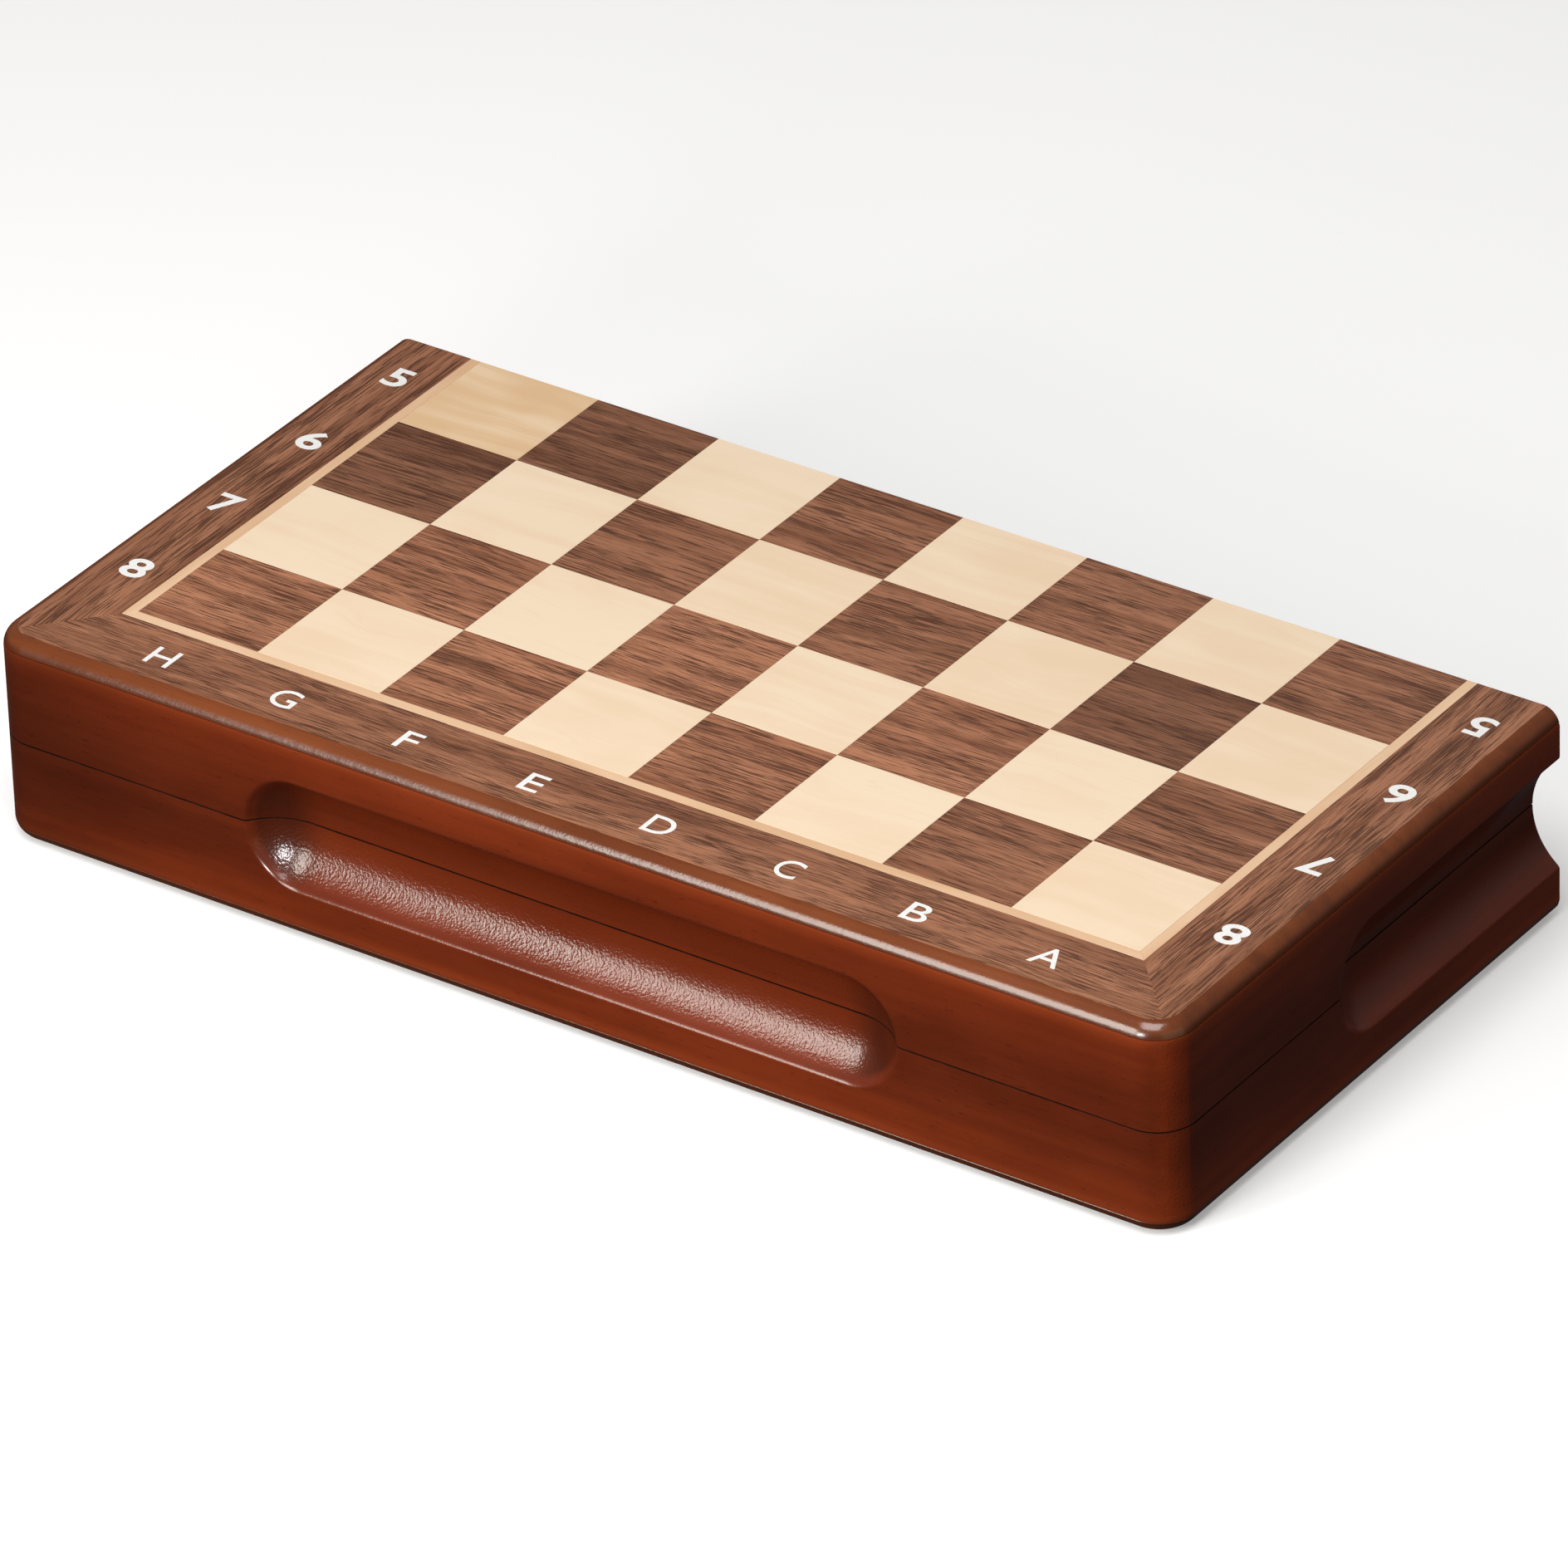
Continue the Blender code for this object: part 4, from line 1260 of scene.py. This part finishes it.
def leaf_plate(x, half):
    """A hinge leaf's plate with rounded outer corners and eased edges."""
    corner_x, corner_y = x - HINGE_REACH + LEAF_CORNER, LEAF_EDGE + LEAF_CORNER
    left = [(corner_x + LEAF_CORNER * math.cos(angle), corner_y + LEAF_CORNER * math.sin(angle))
            for angle in np.radians(np.linspace(180, 270, 7))]
    right = [(2 * x - px, py) for px, py in reversed(left)]
    outline = np.array([(x - HINGE_REACH, HINGE_EDGE), *left, *right, (x + HINGE_REACH, HINGE_EDGE)])
    middle = np.array((x, (LEAF_EDGE + HINGE_EDGE) / 2))
    rings = []
    low, high = LEAF_DEPTHS
    for depth, ease in ((low, 0.12), (low + 0.12, 0), (high, 0)):
        flat = outline - ease * np.sign(outline - middle)
        rings.append([(px, py, half.z(depth)) for px, py in flat])
    shape = Shape()
    shape.loft(rings, grain_along("X"))
    return shape.mesh("plate", [])


def screw_places(x):
    """Where a leaf's three screws go."""
    return [(x + offset, SCREW_Y) for offset in (-SCREW_SPREAD, 0.0, SCREW_SPREAD)]


def lathe_mesh(outline, places, half, finishes, name, sides=32):
    """The same turned outline, radius and depth pairs, stood at several places on a half."""
    shape = Shape()
    angles = full_turn(sides)
    for x, y in places:
        rings = [points_of(x + radius * np.cos(angles), y + radius * np.sin(angles), half.z(depth))
                 for radius, depth in outline]
        shape.loft(rings, grain_along("X"))
    return shape.mesh(name, finishes)


def box_mesh(low, high):
    """A plain block, for cutting with."""
    shape = Shape()
    rings = [[(x, y, z) for x, y in rectangle(low, high)] for z in (low[2], high[2])]
    shape.loft(rings, grain_along("X"))
    return shape.mesh("box", [])


def make_leaf(half, other, x, word):
    """A butt hinge's leaf: plate and knuckles in one, bored for the pin and countersunk."""
    mesh = leaf_plate(x, half)
    gaps = [(start - KNUCKLE_GAP, end + KNUCKLE_GAP) for start, end in knuckle_spans(x, other)]
    mesh = cut(mesh, rod_mesh(KNUCKLE_RADIUS + KNUCKLE_GAP, gaps))
    mesh = cut(mesh, rod_mesh(KNUCKLE_RADIUS, knuckle_spans(x, half)), "UNION")
    mesh = cut(mesh, rod_mesh(BORE_RADIUS, [(x - 2 * HINGE_REACH, x + 2 * HINGE_REACH)]))
    sink = [(2.35, LEAF_DEPTHS[0] - 0.2), (2.2, LEAF_DEPTHS[0]), (1.25, LEAF_DEPTHS[1]),
            (1.25, LEAF_DEPTHS[1] + 1)]
    mesh = cut(mesh, lathe_mesh(sink, screw_places(x), half, [], "sink"))
    name = f"{half.name}_hinge_leaf_{word}"
    add_piece(f"{name}_plate", finished(mesh, BRASS, 35), half.body, "brass", [name])


def make_screws(half, x, word):
    """Three countersunk screws through a leaf, each with a slot at its own angle."""
    top = LEAF_DEPTHS[0] + 0.06
    outline = [(1.9, top + 0.05), (2.05, top + 0.12), (1.15, LEAF_DEPTHS[1]), (1.1, LEAF_DEPTHS[1] + 7),
               (0.3, LEAF_DEPTHS[1] + 9)]
    for number, place in enumerate(screw_places(x), 1):
        head = [(0.6, top - 0.02), (1.3, top)] + outline
        mesh = lathe_mesh(head, [(0, 0)], half, [], "screw", sides=24)
        z_low, z_high = sorted((half.z(top - 1), half.z(top + 0.45)))
        mesh = finished(cut(mesh, box_mesh((-3, -0.28, z_low), (3, 0.28, z_high))), BRASS, 30)
        name = f"{half.name}_hinge_screw_{word}_{number}"
        angle = RANDOM.uniform(0, math.pi)
        add_piece(name, mesh, half.body, "brass", (), (*place, 0), (0, 0, angle))


def make_hinges():
    """Both butt hinges, without their pins, which stay as the CAD model has them."""
    for side, word in SIDES:
        for half, other in ((LOWER, UPPER), (UPPER, LOWER)):
            make_leaf(half, other, side * HINGE_X, word)
            make_screws(half, side * HINGE_X, word)


def make_magnets(half):
    """Two disc magnets let into the front rail's rim."""
    face = HALF_GAP - 0.05
    outline = [(3.6, face), (3.9, face + 0.05), (4.0, face + 0.15), (4.0, face + 2.5)]
    for side, word in SIDES:
        place = (side * MAGNET_PLACE[0], MAGNET_PLACE[1])
        name = f"{half.name}_magnet_{word}"
        mesh = lathe_mesh(outline, [place], half, [STEEL], name, sides=40)
        add_piece(name, mesh, half.body, "magnet_steel")


# Stage ------------------------------------------------------------------------------------


def make_floor():
    """A plain pale floor, which neither shows in the lacquer nor lights the case."""
    mesh = bpy.data.meshes.new("floor")
    reach, height = 6.0, -0.0002
    corners = rectangle((-reach, -reach), (reach, reach))
    mesh.from_pydata([(x, y, height) for x, y in corners], [], [(0, 1, 2, 3)])
    tree = Tree("floor")
    tree.finish(Base_Color=(0.80, 0.80, 0.80), Roughness=0.9, Specular_IOR_Level=0.0,
                Emission_Color=(1.0, 1.0, 1.0), Emission_Strength=0.28)
    dress(mesh, tree.material)
    floor = held("floor", mesh)
    floor.visible_glossy = False
    floor.visible_diffuse = False
    floor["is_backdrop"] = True


def make_softbox(name, direction, distance, size, level, colour=(1, 1, 1)):
    """A lamp whose light, square on, shows a white surface at the given level."""
    data = bpy.data.lights.new(name, "AREA")
    data.shape = "RECTANGLE"
    data.size, data.size_y = size
    data.energy = level * math.pi**2 * distance**2
    data.color = colour
    lamp = held(name, data)
    toward = Vector(direction).normalized()
    lamp.location = Vector((0, 0, SEAM * MM)) + toward * distance
    lamp.rotation_euler = toward.to_track_quat("Z", "Y").to_euler()


def make_lights():
    """A small box close in front, a tall one at the front left, one overhead, and two dim fills."""
    make_softbox("key", (0.07, -0.94, 0.33), 0.9, (0.2, 0.2), 0.43)
    make_softbox("edge", (-0.36, -0.85, 0.38), 1.6, (0.45, 0.8), 0.44, (1.0, 0.96, 0.88))
    make_softbox("overhead", (0.12, -0.36, 0.93), 1.6, (1.0, 1.0), 0.73)
    make_softbox("rear_fill", (-0.20, 0.94, 0.28), 2.4, (1.2, 0.8), 0.08)
    make_softbox("side_fill", (0.92, -0.25, 0.30), 2.4, (2.4, 1.6), 0.08, (1.0, 0.90, 0.55))


def make_surround():
    """A dim studio: grey above the horizon, and nearly black below it."""
    world = bpy.data.worlds.new("surround")
    world.use_nodes = True
    nodes, links = world.node_tree.nodes, world.node_tree.links
    background = nodes["Background"]
    height = nodes.new("ShaderNodeSeparateXYZ")
    links.new(nodes.new("ShaderNodeTexCoord").outputs["Generated"], height.inputs[0])
    level = nodes.new("ShaderNodeMapRange")
    level.interpolation_type = "SMOOTHSTEP"
    for key, value in {"From Min": -0.15, "From Max": 0.35, "To Min": 0.03, "To Max": 0.16}.items():
        level.inputs[key].default_value = value
    links.new(height.outputs["Z"], level.inputs["Value"])
    links.new(level.outputs["Result"], background.inputs["Strength"])
    background.inputs["Color"].default_value = (1.0, 1.0, 1.0, 1)
    bpy.context.scene.world = world


# The photo's camera, as fitted to the board's squares.
CAMERA_ANGLES = (35.615, 31.654, -1.976)
CAMERA_DISTANCE = 3567.1
CAMERA_AIM = (6.46, -2.72, SEAM)
CAMERA_LENS = 309.74


def make_camera():
    """Looks down on the front right corner, with a slight tilt."""
    azimuth, elevation, roll = np.radians(CAMERA_ANGLES).tolist()
    away = Vector((math.sin(azimuth) * math.cos(elevation),
                   -math.cos(azimuth) * math.cos(elevation), math.sin(elevation)))
    data = bpy.data.cameras.new("camera")
    data.lens = CAMERA_LENS
    data.sensor_width = 36.0
    camera = held("camera", data)
    camera.location = (Vector(CAMERA_AIM) + away * CAMERA_DISTANCE) * MM
    camera.rotation_mode = "QUATERNION"
    tilt = Quaternion((0, 0, 1), roll)
    camera.rotation_quaternion = (-away).to_track_quat("-Z", "Y") @ tilt
    bpy.context.scene.camera = camera


# Assembly ---------------------------------------------------------------------------------


def dress_cad_nodes():
    """Materials for the CAD nodes that stay in view."""
    finishes = {"hinge_rail": HINGE_RAIL, "hinge_pin": BRASS}
    for name, node in frame["nodes"].items():
        for key, finish in finishes.items():
            if key in name:
                dress(node.data, finish)


def main():
    make_camera()
    make_lights()
    make_surround()
    make_floor()
    dress_cad_nodes()
    for half in HALVES:
        make_front_rail(half)
        for side, word in SIDES:
            make_side_rail(half, side, word)
        make_panel(half)
        make_borders(half)
        make_stringing(half)
        make_squares(half)
        make_print(half)
        make_tray(half)
        make_men(half)
        make_magnets(half)
    make_hinges()
    bpy.context.scene.view_settings.view_transform = "Standard"


main()

boxes = {"cad": CAD_BOUNDS, "visual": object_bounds()}
{key: [list(corner) for corner in box] for key, box in boxes.items()}
